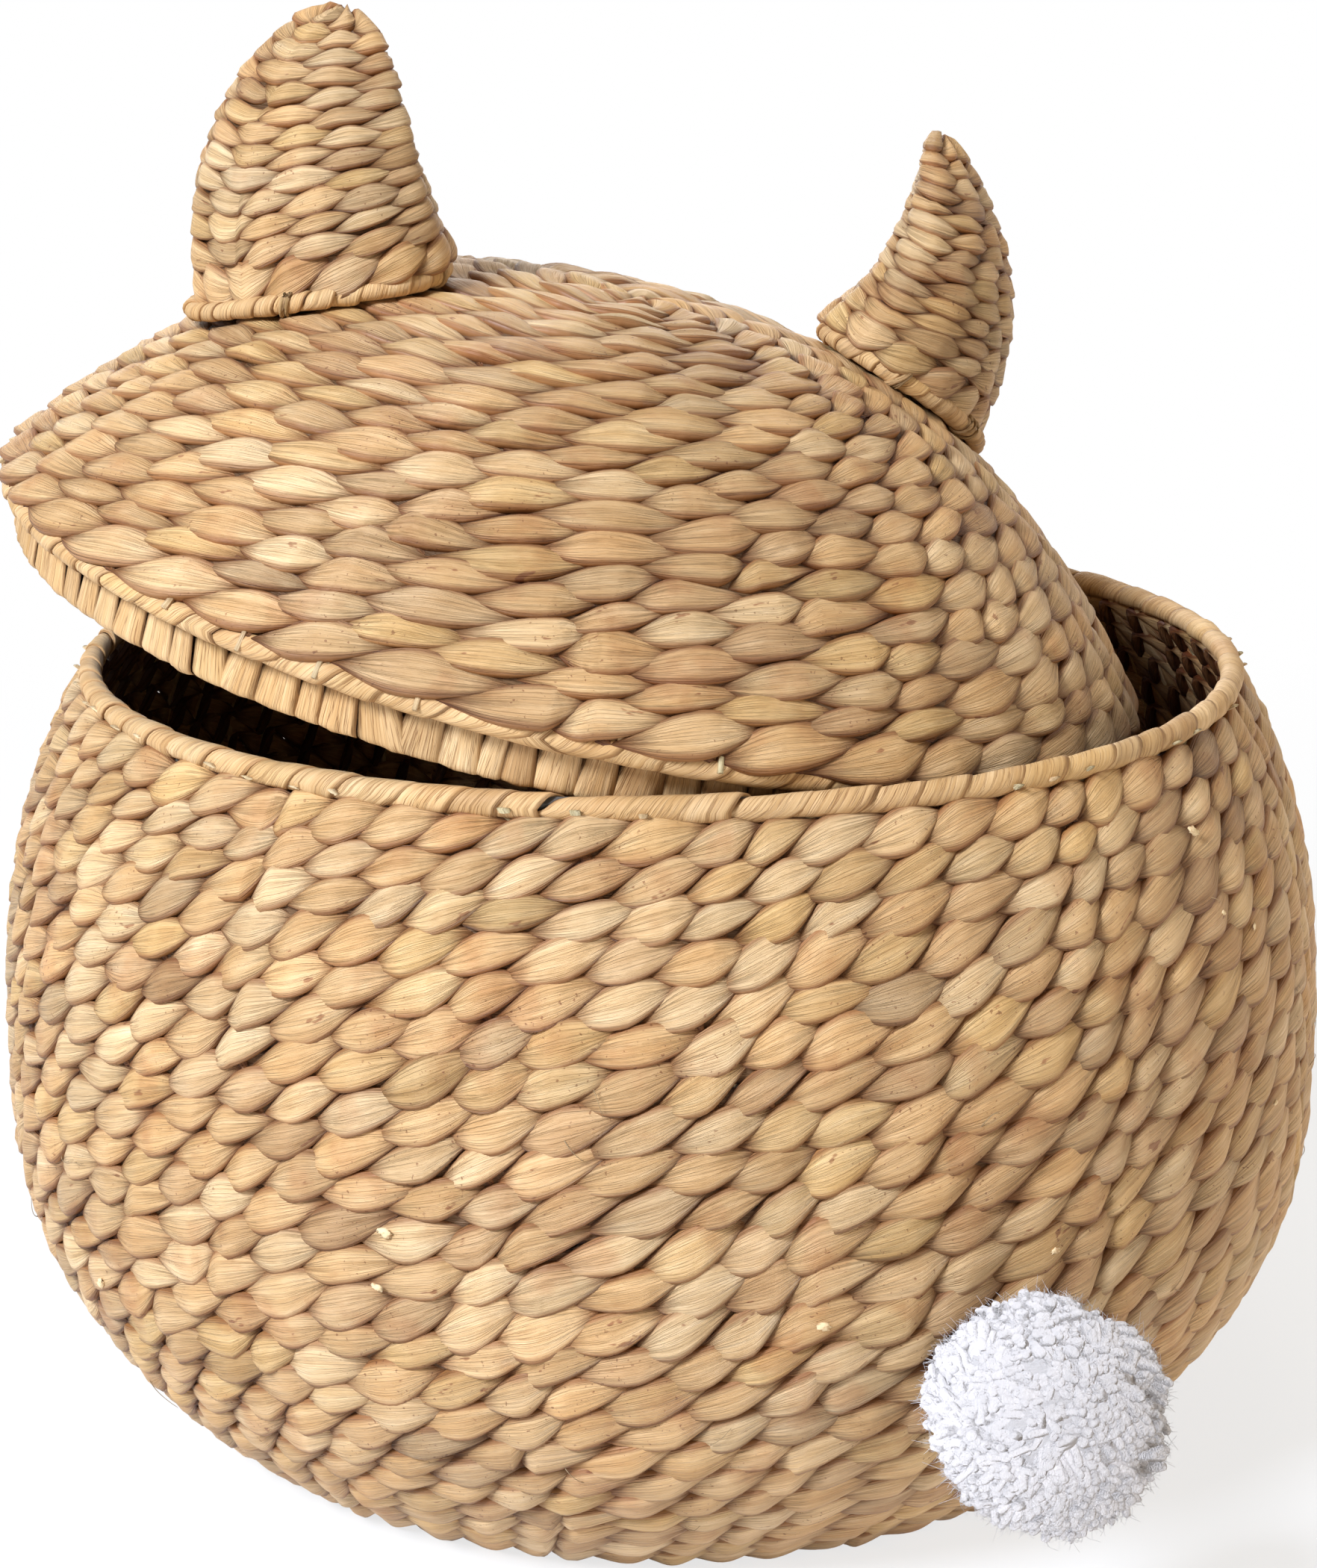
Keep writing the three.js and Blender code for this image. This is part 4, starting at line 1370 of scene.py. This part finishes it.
def fluff(yarns, colours, rng):
    """Fine hairs that stand off the yarns near their ends."""
    tone = np.array([*colours.yarn, 1.0])
    share = np.array([0.0, 0.5, 1.0])[:, None]
    radius = FLUFF_RADIUS * (1 - 0.5 * share[:, 0])
    grids = []
    for number in rng.integers(0, len(yarns), FLUFF):
        points = yarns[number].points
        row = rng.integers(FLUFF_FIRST_ROW, len(points) - 1)
        foot = points[row, rng.integers(0, points.shape[1])]
        way = foot - points[row].mean(0)
        ahead = points[-1].mean(0) - points[row - 1].mean(0)
        way = FLUFF_OUT * way / np.linalg.norm(way) + FLUFF_AHEAD * ahead / np.linalg.norm(ahead)
        way += rng.normal(0, FLUFF_STRAY, 3)
        bend = rng.normal(0, FLUFF_BEND, 3)
        path = foot + rng.uniform(*FLUFF_LENGTHS) * (way * share + bend * share * share)
        grids.append(tube(path, radius, FLUFF_SIDES, tone, rng))
    return grids


# Stakes, stitches and loose ends


STAKES_AHEAD = 0.6
STAKE_KINDS = (0.5, 0.2, 0.3)
STAKE_SHADES = (0.9, 1.1)
STAKE_SIDES = 8
STAKE_POWER = 0.6
BODY_STAKE_MARKS = np.linspace(0.01, 0.99, 22)
BODY_STAKE_SWAY = 0.008
BODY_STAKE_PROUD = 1.1
BODY_STAKE_UNDER = 0.5
BODY_STAKE_DROPS = (-0.5, 2.0)
BODY_STAKE_WIDTHS = (1.1, 2.0)
BODY_STAKE_DEPTHS = (0.6, 1.1)
LID_STAKE_SWAY = 0.012
LID_STAKE_BEND = 0.01
LID_STAKE_MARKS = np.linspace(60, 0.5, 10)
LID_STAKE_PROUD = 0.9
LID_STAKE_ENDS = (-1.5, 2.5)
LID_STAKE_SLOPE = 0.9
LID_STAKE_WIDTHS = (0.7, 1.3)
LID_STAKE_DEPTHS = (0.4, 0.6)
STITCHES = 4
STITCH_STRANDS = (2, 5)
STITCH_SLANTS = (0.002, 0.012)
STITCH_REACHES = (0.5, 0.9)
STITCH_SHADES = (0.6, 1.0)
STITCH_STEPS = 14
STITCH_SIDES = 6
STITCH_RADII = (0.35, 0.65)
CHIPS = 12
CHIP_ROWS = 7
CHIP_SIDES = 9
CHIP_SIZES = (0.7, 1.6)
CHIP_HEIGHTS = (25, 235)
CHIP_SLOPES = (-0.6, 1.0)
CHIP_LUMPS = (0.6, 1.25)
CHIP_LENGTH = 1.5
CHIP_THICKNESS = 0.45
CHIP_CUT = 0.12
FIBRES = 45
FIBRE_STEPS = 8
FIBRE_LENGTHS = (5, 13)
FIBRE_HEIGHTS = (15, 240)
FIBRE_SLOPES = (-1.2, 1.2)
FIBRE_RADII = np.linspace(0.16, 0.08, FIBRE_STEPS)
FIBRE_SIDES = 4
FIBRE_ARCH = 4.5
FIBRE_ROOT = 0.4


def stake(path, out, widths, depths, colours, rng):
    """A split cane along a path, pale or straw coloured, with a way out for its flat face."""
    half_width, half_depth = rng.uniform(*widths), rng.uniform(*depths)
    kinds = [colours.pith, colours.straw, colours.pale]
    tint = np.array(kinds[rng.choice(len(kinds), p=STAKE_KINDS)]) * rng.uniform(*STAKE_SHADES)
    side = unit(np.cross(unit(np.gradient(path, axis=0)), out))
    turns = turns_round(STAKE_SIDES)
    edge = squared(np.cos(turns), STAKE_POWER)
    face = squared(np.sin(turns), STAKE_POWER)
    body = path[:, None] + half_width * edge[:, None] * side[:, None]
    body += half_depth * face[:, None] * out[:, None]
    along = lengths_along(path)[:, None]
    tone = np.array([*tint, 0.2])
    return Grid(body, along, edge, tone, closed_along=False, grain=rng.uniform(0, GRAINS))


def body_stakes(weave, drift, colours, rng):
    """Stakes from the base to the rim, one behind every turn. Most end in front of the rim's hoop."""
    outline = body_outline()
    lobes = weave.body_stakes
    marks = BODY_STAKE_MARKS * outline.length
    leans = [drift(mark / outline.length, 0.0) for mark in marks]
    grids = []
    for number in range(lobes):
        angle = np.array([(number + lean(number * TURN / lobes)) * TURN / lobes for lean in leans])
        path = outline.ring(marks, WALL / 2, angle)[0]
        end = angle[-1] + rng.normal(0, BODY_STAKE_SWAY)
        ahead = rng.uniform() < STAKES_AHEAD
        reach = RIM_RADIUS + (RIM_STRIP + BODY_STAKE_PROUD if ahead else 0)
        under = polar(RIM_RADIUS, end, RIM_HEIGHT - RIM_STRIP - BODY_STAKE_UNDER)
        top = polar(reach, end, RIM_HEIGHT - rng.uniform(*BODY_STAKE_DROPS))
        out = polar(1, angle, 0)
        out = np.vstack([out, out[-1:], out[-1:]])
        path = np.vstack([path, under, top])
        grids.append(stake(path, out, BODY_STAKE_WIDTHS, BODY_STAKE_DEPTHS, colours, rng))
    return grids


def lid_stakes(weave, colours, rng):
    """The ends of the lid's stakes, from under the last courses to its binding, some curled over it."""
    outline = dome_outline()
    marks = LID_STAKE_MARKS
    grids = []
    for number in range(weave.dome_stakes):
        angle = number * TURN / weave.dome_stakes + rng.normal(0, LID_STAKE_SWAY)
        path = outline.ring(marks, DOME_WALL / 2, np.full(len(marks), angle))[0]
        if rng.uniform() < STAKES_AHEAD:
            lean = angle + rng.normal(0, LID_STAKE_BEND)
            over = polar(LID_RADIUS + LID_STRIP * 0.5, lean, LID_STRIP + LID_STAKE_PROUD)
            reach = LID_RADIUS + LID_STRIP + LID_STAKE_PROUD
            ends = [over, polar(reach, lean, rng.uniform(*LID_STAKE_ENDS))]
        else:
            ends = [polar(LID_RADIUS, angle, 2.0)]
        path = np.vstack([path, *ends])
        out = np.tile(polar(1, angle, LID_STAKE_SLOPE), (len(path), 1))
        grids.append(stake(path, out, LID_STAKE_WIDTHS, LID_STAKE_DEPTHS, colours, rng))
    return grids


def stitches(side, colours, rng):
    """Lashings of a few raffia strands that sew an ear's foot to the lid."""
    line, _ = ear_foot(side)
    turns = turns_round(STITCH_STEPS)
    grids = []
    for share in (np.arange(STITCHES) + rng.uniform(-0.3, 0.3, STITCHES)) / STITCHES:
        for _ in range(rng.integers(*STITCH_STRANDS)):
            slant = rng.normal(0, 0.006) + rng.uniform(*STITCH_SLANTS) * np.sin(turns)
            points, out, up = line(share + slant)
            reach = EAR_FOOT_TUBE + rng.uniform(*STITCH_REACHES)
            path = points + reach * (np.cos(turns)[:, None] * out + np.sin(turns)[:, None] * up)
            tone = np.array([*strip_tones(1, colours, rng)[0] * rng.uniform(*STITCH_SHADES), 0.6])
            grids.append(tube(path, rng.uniform(*STITCH_RADII), STITCH_SIDES, tone, rng, closed=True))
    return grids


def wall_place(outline, heights, rng):
    """A random place on the outer face of the wall, with the ways round, up and out."""
    angle = rng.uniform(0, TURN)
    along = np.interp(rng.uniform(*heights), outline.heights, outline.marks)
    points, upward = outline.ring(np.array([along]), 0.0, np.array([angle]))
    around = np.array([-math.sin(angle), math.cos(angle), 0])
    return points[0], around, upward[0], np.cross(around, upward[0])


def pith_chips(colours, rng):
    """Torn white pith that stands out between the turns."""
    outline = body_outline()
    tilt = np.linspace(CHIP_CUT, math.pi - CHIP_CUT, CHIP_ROWS)[:, None]
    turns = turns_round(CHIP_SIDES)[None]
    grids = []
    for _ in range(CHIPS):
        point, around, upward, out = wall_place(outline, CHIP_HEIGHTS, rng)
        size = rng.uniform(*CHIP_SIZES)
        length = CHIP_LENGTH * np.cos(tilt) + 0 * turns
        ball = np.stack([
            length, np.sin(tilt) * np.cos(turns), CHIP_THICKNESS * np.sin(tilt) * np.sin(turns)], -1)
        ball *= size * rng.uniform(*CHIP_LUMPS, (CHIP_ROWS, CHIP_SIDES, 1))
        slope = rng.uniform(*CHIP_SLOPES)
        first = math.cos(slope) * around + math.sin(slope) * upward
        second = math.cos(slope) * upward - math.sin(slope) * around
        body = point + out * 0.1 + ball[..., :1] * first + ball[..., 1:2] * second + ball[..., 2:] * out
        tone = np.array([*(np.array(colours.pith) * rng.uniform(0.9, 1.05)), 0.0])
        grids.append(Grid(body, 0.0, 0.0, tone, closed_along=False))
    return grids


def loose_fibres(colours, rng):
    """Hair-thin fibres that have sprung out of the weave."""
    outline = body_outline()
    share = np.linspace(0, 1, FIBRE_STEPS)[:, None]
    grids = []
    for _ in range(FIBRES):
        point, around, upward, out = wall_place(outline, FIBRE_HEIGHTS, rng)
        length = rng.uniform(*FIBRE_LENGTHS)
        slope = rng.uniform(*FIBRE_SLOPES)
        way = math.cos(slope) * around + math.sin(slope) * upward
        turn = rng.normal(0, 0.7)
        path = point + length * (share * way + turn * share ** 2 * upward)
        path += out * (FIBRE_ARCH * share * (1 - share) - FIBRE_ROOT)
        tone = np.array([*(np.array(colours.pale) * rng.uniform(0.8, 1.1)), 0.0])
        grids.append(tube(path, FIBRE_RADII, FIBRE_SIDES, tone, rng))
    return grids


# Operators


SIDES = {"left": -1, "right": 1}


class BASKET_OT_wall(bpy.types.Operator):
    """Weaves the wall of the basket round its stakes"""

    bl_idname = "basket.wall"
    bl_label = "Weave the wall"

    def execute(self, context):
        weave, colours = settings()
        rng = np.random.default_rng(SEED)
        rings, drift = body_rings(weave, rng)
        wall = ("basket", "woven_fibre", ["basket_wall"])
        for number, first in enumerate(range(0, len(rings), BAND_COURSES)):
            grids = grounded(woven(rings[first:first + BAND_COURSES], colours, rng))
            make_piece(f"wall_band_{number + 1}", grids, fibre_finish, *wall, arcs=BAND_ARCS)
        make_piece("wall_stakes", body_stakes(weave, drift, colours, rng), strip_finish, *wall, columns=4)
        loose = loose_fibres(colours, rng)
        make_piece("loose_fibres", loose, fibre_finish, "basket", "woven_fibre", [], columns=8)
        chips = pith_chips(colours, rng)
        make_piece("pith_chips", chips, pith_finish, "basket", "woven_fibre", [], columns=6)
        return {"FINISHED"}


class BASKET_OT_base(bpy.types.Operator):
    """Weaves the flat base"""

    bl_idname = "basket.base"
    bl_label = "Weave the base"

    def execute(self, context):
        weave, colours = settings()
        rng = np.random.default_rng(SEED + 1)
        grids = grounded(woven(base_rings(weave, rng), colours, rng))
        make_piece("base", grids, fibre_finish, "basket", "woven_fibre", ["basket_base"])
        return {"FINISHED"}


class BASKET_OT_dome(bpy.types.Operator):
    """Weaves the dome of the lid"""

    bl_idname = "basket.dome"
    bl_label = "Weave the lid"

    def execute(self, context):
        weave, colours = settings()
        rng = np.random.default_rng(SEED + 2)
        rings = dome_rings(weave, rng)
        dome = ("lid", "woven_fibre", ["lid_dome"])
        for name, (first, last) in DOME_PIECES.items():
            make_piece(name, woven(rings[first:last], colours, rng), fibre_finish, *dome, arcs=BAND_ARCS)
        make_piece("dome_stakes", lid_stakes(weave, colours, rng), strip_finish, *dome, columns=4)
        return {"FINISHED"}


class BASKET_OT_ears(bpy.types.Operator):
    """Weaves the two ears"""

    bl_idname = "basket.ears"
    bl_label = "Weave the ears"

    def execute(self, context):
        weave, colours = settings()
        for name, side in SIDES.items():
            rng = np.random.default_rng(SEED + 4 + side)
            grids = woven(ear_rings(weave, side, rng), colours, rng)
            grids.append(ear_tip(side, colours, rng))
            make_piece(f"woven_ear_{name}", grids, fibre_finish, "lid", "woven_fibre", [f"ear_{name}"])
        return {"FINISHED"}


class BASKET_OT_bindings(bpy.types.Operator):
    """Winds the strips round the rim, the lid's edge and the feet of the ears"""

    bl_idname = "basket.bindings"
    bl_label = "Wind the bindings"

    def execute(self, context):
        weave, colours = settings()
        rng = np.random.default_rng(SEED + 6)
        advance = weave.strip_advance / METRES
        hoop = circle(RIM_RADIUS, RIM_HEIGHT - RIM_DROP)
        rim = wound(hoop, TURN * RIM_RADIUS, RIM_STRIP, advance, colours, rng)
        make_piece("rim_strip", [rim], strip_finish, "basket", "wrapped_strip", ["rim_binding"])
        edge = wound(circle(LID_RADIUS, 0.0), TURN * LID_RADIUS, LID_STRIP, advance, colours, rng)
        make_piece("lid_strip", [edge], strip_finish, "lid", "wrapped_strip", ["lid_binding"])
        for name, side in SIDES.items():
            line, length = ear_foot(side)
            foot = wound(line, length, EAR_FOOT_TUBE, advance / 2, colours, rng)
            make_piece(
                f"foot_strip_{name}", [foot, *stitches(side, colours, rng)], strip_finish, "lid",
                "wrapped_strip", [f"ear_{name}_binding"], columns=4)
        return {"FINISHED"}


class BASKET_OT_collar(bpy.types.Operator):
    """Wraps the collar under the lid"""

    bl_idname = "basket.collar"
    bl_label = "Wrap the collar"

    def execute(self, context):
        _, colours = settings()
        strips = collar_strips(colours, np.random.default_rng(SEED + 7))
        make_piece("collar_strips", strips, strip_finish, "lid", "wrapped_strip", ["collar_wrap"], columns=6)
        return {"FINISHED"}


class BASKET_OT_tail(bpy.types.Operator):
    """Makes the yarn tail"""

    bl_idname = "basket.tail"
    bl_label = "Make the tail"

    def execute(self, context):
        weave, colours = settings()
        yarns, middle, hairs = pompom_yarns(weave.yarns, colours, np.random.default_rng(SEED + 8))
        parts = {"tail_yarns": (yarns, 24), "tail_middle": (middle, 1), "tail_fluff": (hairs, 64)}
        for name, (grids, columns) in parts.items():
            piece = make_piece(
                name, grids, yarn_finish, "basket", "white_yarn", ["tail_pompom"], columns=columns)
            # Light comes through loose yarn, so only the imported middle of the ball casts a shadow
            piece.visible_shadow = name == "tail_middle"
        return {"FINISHED"}


class BASKET_OT_hoops(bpy.types.Operator):
    """Finishes the wire hoops and the tail's tie"""

    bl_idname = "basket.hoops"
    bl_label = "Finish the hoops"

    def execute(self, context):
        for name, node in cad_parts.items():
            if name.endswith(("hoop", "wire")) or name == "tail_tie":
                maker = pith_finish if name == "tail_tie" else wire_finish
                node.data.materials.clear()
                node.data.materials.append(finish_named(maker))
        return {"FINISHED"}


class BASKET_OT_stage(bpy.types.Operator):
    """Sets the floor, the lamps and the camera"""

    bl_idname = "basket.stage"
    bl_label = "Set the stage"

    def execute(self, context):
        scene = context.scene
        scene.view_settings.view_transform = "Standard"
        stage_floor()
        stage_light()
        stage_camera(scene)
        return {"FINISHED"}


# The stage


FLOOR_RADIUS = 1.2
FLOOR_FADE_START = 0.3
FLOOR_CLEAR = 0.75
FLOOR_CORNERS = 64
FLOOR_PALE = (0.93, 0.93, 0.93, 1)
WORLD_LIGHT = 0.12
WORLD_TINT = (1.0, 0.86, 0.67)
WORLD_SEEN = (1, 1, 1)

# Where each lamp stands and its size, both in metres, its power in watts and its colour
LAMPS = {
    "key": ((-1.9, -0.75, 1.75), 0.8, 97, (0.90, 1.0, 1.17)),
    "front": ((-0.2, -2.3, 0.4), 1.2, 8, (1.0, 0.89, 0.74)),
    "right": ((2.1, -1.1, 0.7), 1.2, 16, (1.0, 0.89, 0.72)),
    "top": ((0.0, 0.3, 2.3), 1.4, 10, (1.0, 0.97, 0.93)),
    "back": ((0.9, 2.2, 0.9), 1.4, 17, (1.0, 0.95, 0.88)),
}
LAMP_TARGET = (0, 0, 0.2)

CAMERA_AZIMUTH = -25
CAMERA_ELEVATION = 16
CAMERA_DISTANCE = 1.05
CAMERA_TARGET = (0, 0, 0.201)
PHOTO_HEIGHT = 2100
PHOTO_WIDTH = 1764
FOCAL_PIXELS = 4177
AXIS_PIXEL = 885.4
SENSOR = 36


def seen_directly(look):
    """1 for what the camera sees, in mirrors and through glass too, and 0 for light on the object."""
    ray = look.node("ShaderNodeLightPath")
    seen = ray["Is Camera Ray"] + ray["Is Glossy Ray"] + ray["Is Transmission Ray"]
    return seen.maths("MINIMUM", seen, 1.0)


def stage_floor():
    """A pale floor that is seen to fade into the white of the world."""
    look = Finish("floor")
    seen = seen_directly(look)
    length = {"operation": "LENGTH"}
    distance = look.node("ShaderNodeVectorMath", length, {0: look.place()})["Value"]
    fade = seen * (FLOOR_CLEAR + look.step(distance, FLOOR_FADE_START, FLOOR_RADIUS) * (1 - FLOOR_CLEAR))
    pale = look.node("ShaderNodeBsdfDiffuse", {}, {"Color": FLOOR_PALE})["BSDF"]
    clear = look.node("ShaderNodeBsdfTransparent")["BSDF"]
    mixed = look.node("ShaderNodeMixShader", {}, {0: fade, 1: pale, 2: clear})["Shader"]
    look.node("ShaderNodeOutputMaterial", {}, {"Surface": mixed})
    mesh = bpy.data.meshes.new("floor")
    rim = polar(FLOOR_RADIUS, turns_round(FLOOR_CORNERS), 0).tolist()
    mesh.from_pydata(rim, [], [range(FLOOR_CORNERS)])
    mesh.materials.append(look.material)
    floor = bpy.data.objects.new("floor", mesh)
    bpy.context.scene.collection.objects.link(floor)


def aim(thing, target):
    """Turns a lamp or the camera to face a place."""
    way = Vector(target) - thing.location
    thing.rotation_euler = way.to_track_quat("-Z", "Y").to_euler()


def stage_light():
    """A world that is seen as white and lights the object dimly and warmly, and the lamps."""
    look = Finish("studio", bpy.data.worlds)
    seen = seen_directly(look)
    shade = look.mix(seen, WORLD_TINT, WORLD_SEEN)
    strength = WORLD_LIGHT + seen * (1 - WORLD_LIGHT)
    light = look.node("ShaderNodeBackground", {}, {"Color": shade, "Strength": strength})["Background"]
    look.node("ShaderNodeOutputWorld", {}, {"Surface": light})
    bpy.context.scene.world = look.material
    for name, (place, size, power, tint) in LAMPS.items():
        lamp = bpy.data.lights.new(name, "AREA")
        lamp.shape = "DISK"
        lamp.size = size
        lamp.energy = power
        lamp.color = tint
        thing = bpy.data.objects.new(name, lamp)
        thing.location = place
        bpy.context.scene.collection.objects.link(thing)
        aim(thing, LAMP_TARGET)


def stage_camera(scene):
    """The camera of the photograph."""
    turn, rise = math.radians(CAMERA_AZIMUTH), math.radians(CAMERA_ELEVATION)
    way = Vector((math.sin(turn) * math.cos(rise), -math.cos(turn) * math.cos(rise), math.sin(rise)))
    lens = bpy.data.cameras.new("camera")
    lens.sensor_width = SENSOR
    lens.lens = SENSOR * FOCAL_PIXELS / PHOTO_HEIGHT
    lens.shift_x = (PHOTO_WIDTH / 2 - AXIS_PIXEL) / PHOTO_HEIGHT
    camera = bpy.data.objects.new("camera", lens)
    camera.location = Vector(CAMERA_TARGET) + way * CAMERA_DISTANCE
    scene.collection.objects.link(camera)
    aim(camera, CAMERA_TARGET)
    scene.camera = camera


class BASKET_PT_panel(bpy.types.Panel):
    """Lists the settings and the steps"""

    bl_idname = "BASKET_PT_panel"
    bl_label = "Twined basket"
    bl_space_type = "VIEW_3D"
    bl_region_type = "UI"
    bl_category = "Basket"

    def draw(self, context):
        layout = self.layout
        for group in (context.scene.basket_weave, context.scene.basket_colours):
            for name in group.__annotations__:
                layout.prop(group, name)
        for step in STEPS:
            layout.operator(step.bl_idname)


STEPS = (
    BASKET_OT_stage,
    BASKET_OT_wall,
    BASKET_OT_base,
    BASKET_OT_dome,
    BASKET_OT_ears,
    BASKET_OT_bindings,
    BASKET_OT_collar,
    BASKET_OT_tail,
    BASKET_OT_hoops,
)
CLASSES = (BasketWeave, BasketColours, *STEPS, BASKET_PT_panel)


def register():
    """Adds the settings, the operators and the panel."""
    for item in CLASSES:
        bpy.utils.register_class(item)
    bpy.types.Scene.basket_weave = PointerProperty(type=BasketWeave)
    bpy.types.Scene.basket_colours = PointerProperty(type=BasketColours)


def unregister():
    """Takes away what register added."""
    del bpy.types.Scene.basket_weave
    del bpy.types.Scene.basket_colours
    for item in reversed(CLASSES):
        bpy.utils.unregister_class(item)


def main():
    """Runs every step."""
    register()
    for step in STEPS:
        group, name = step.bl_idname.split(".")
        getattr(getattr(bpy.ops, group), name)()


if __name__ == "__main__":
    main()
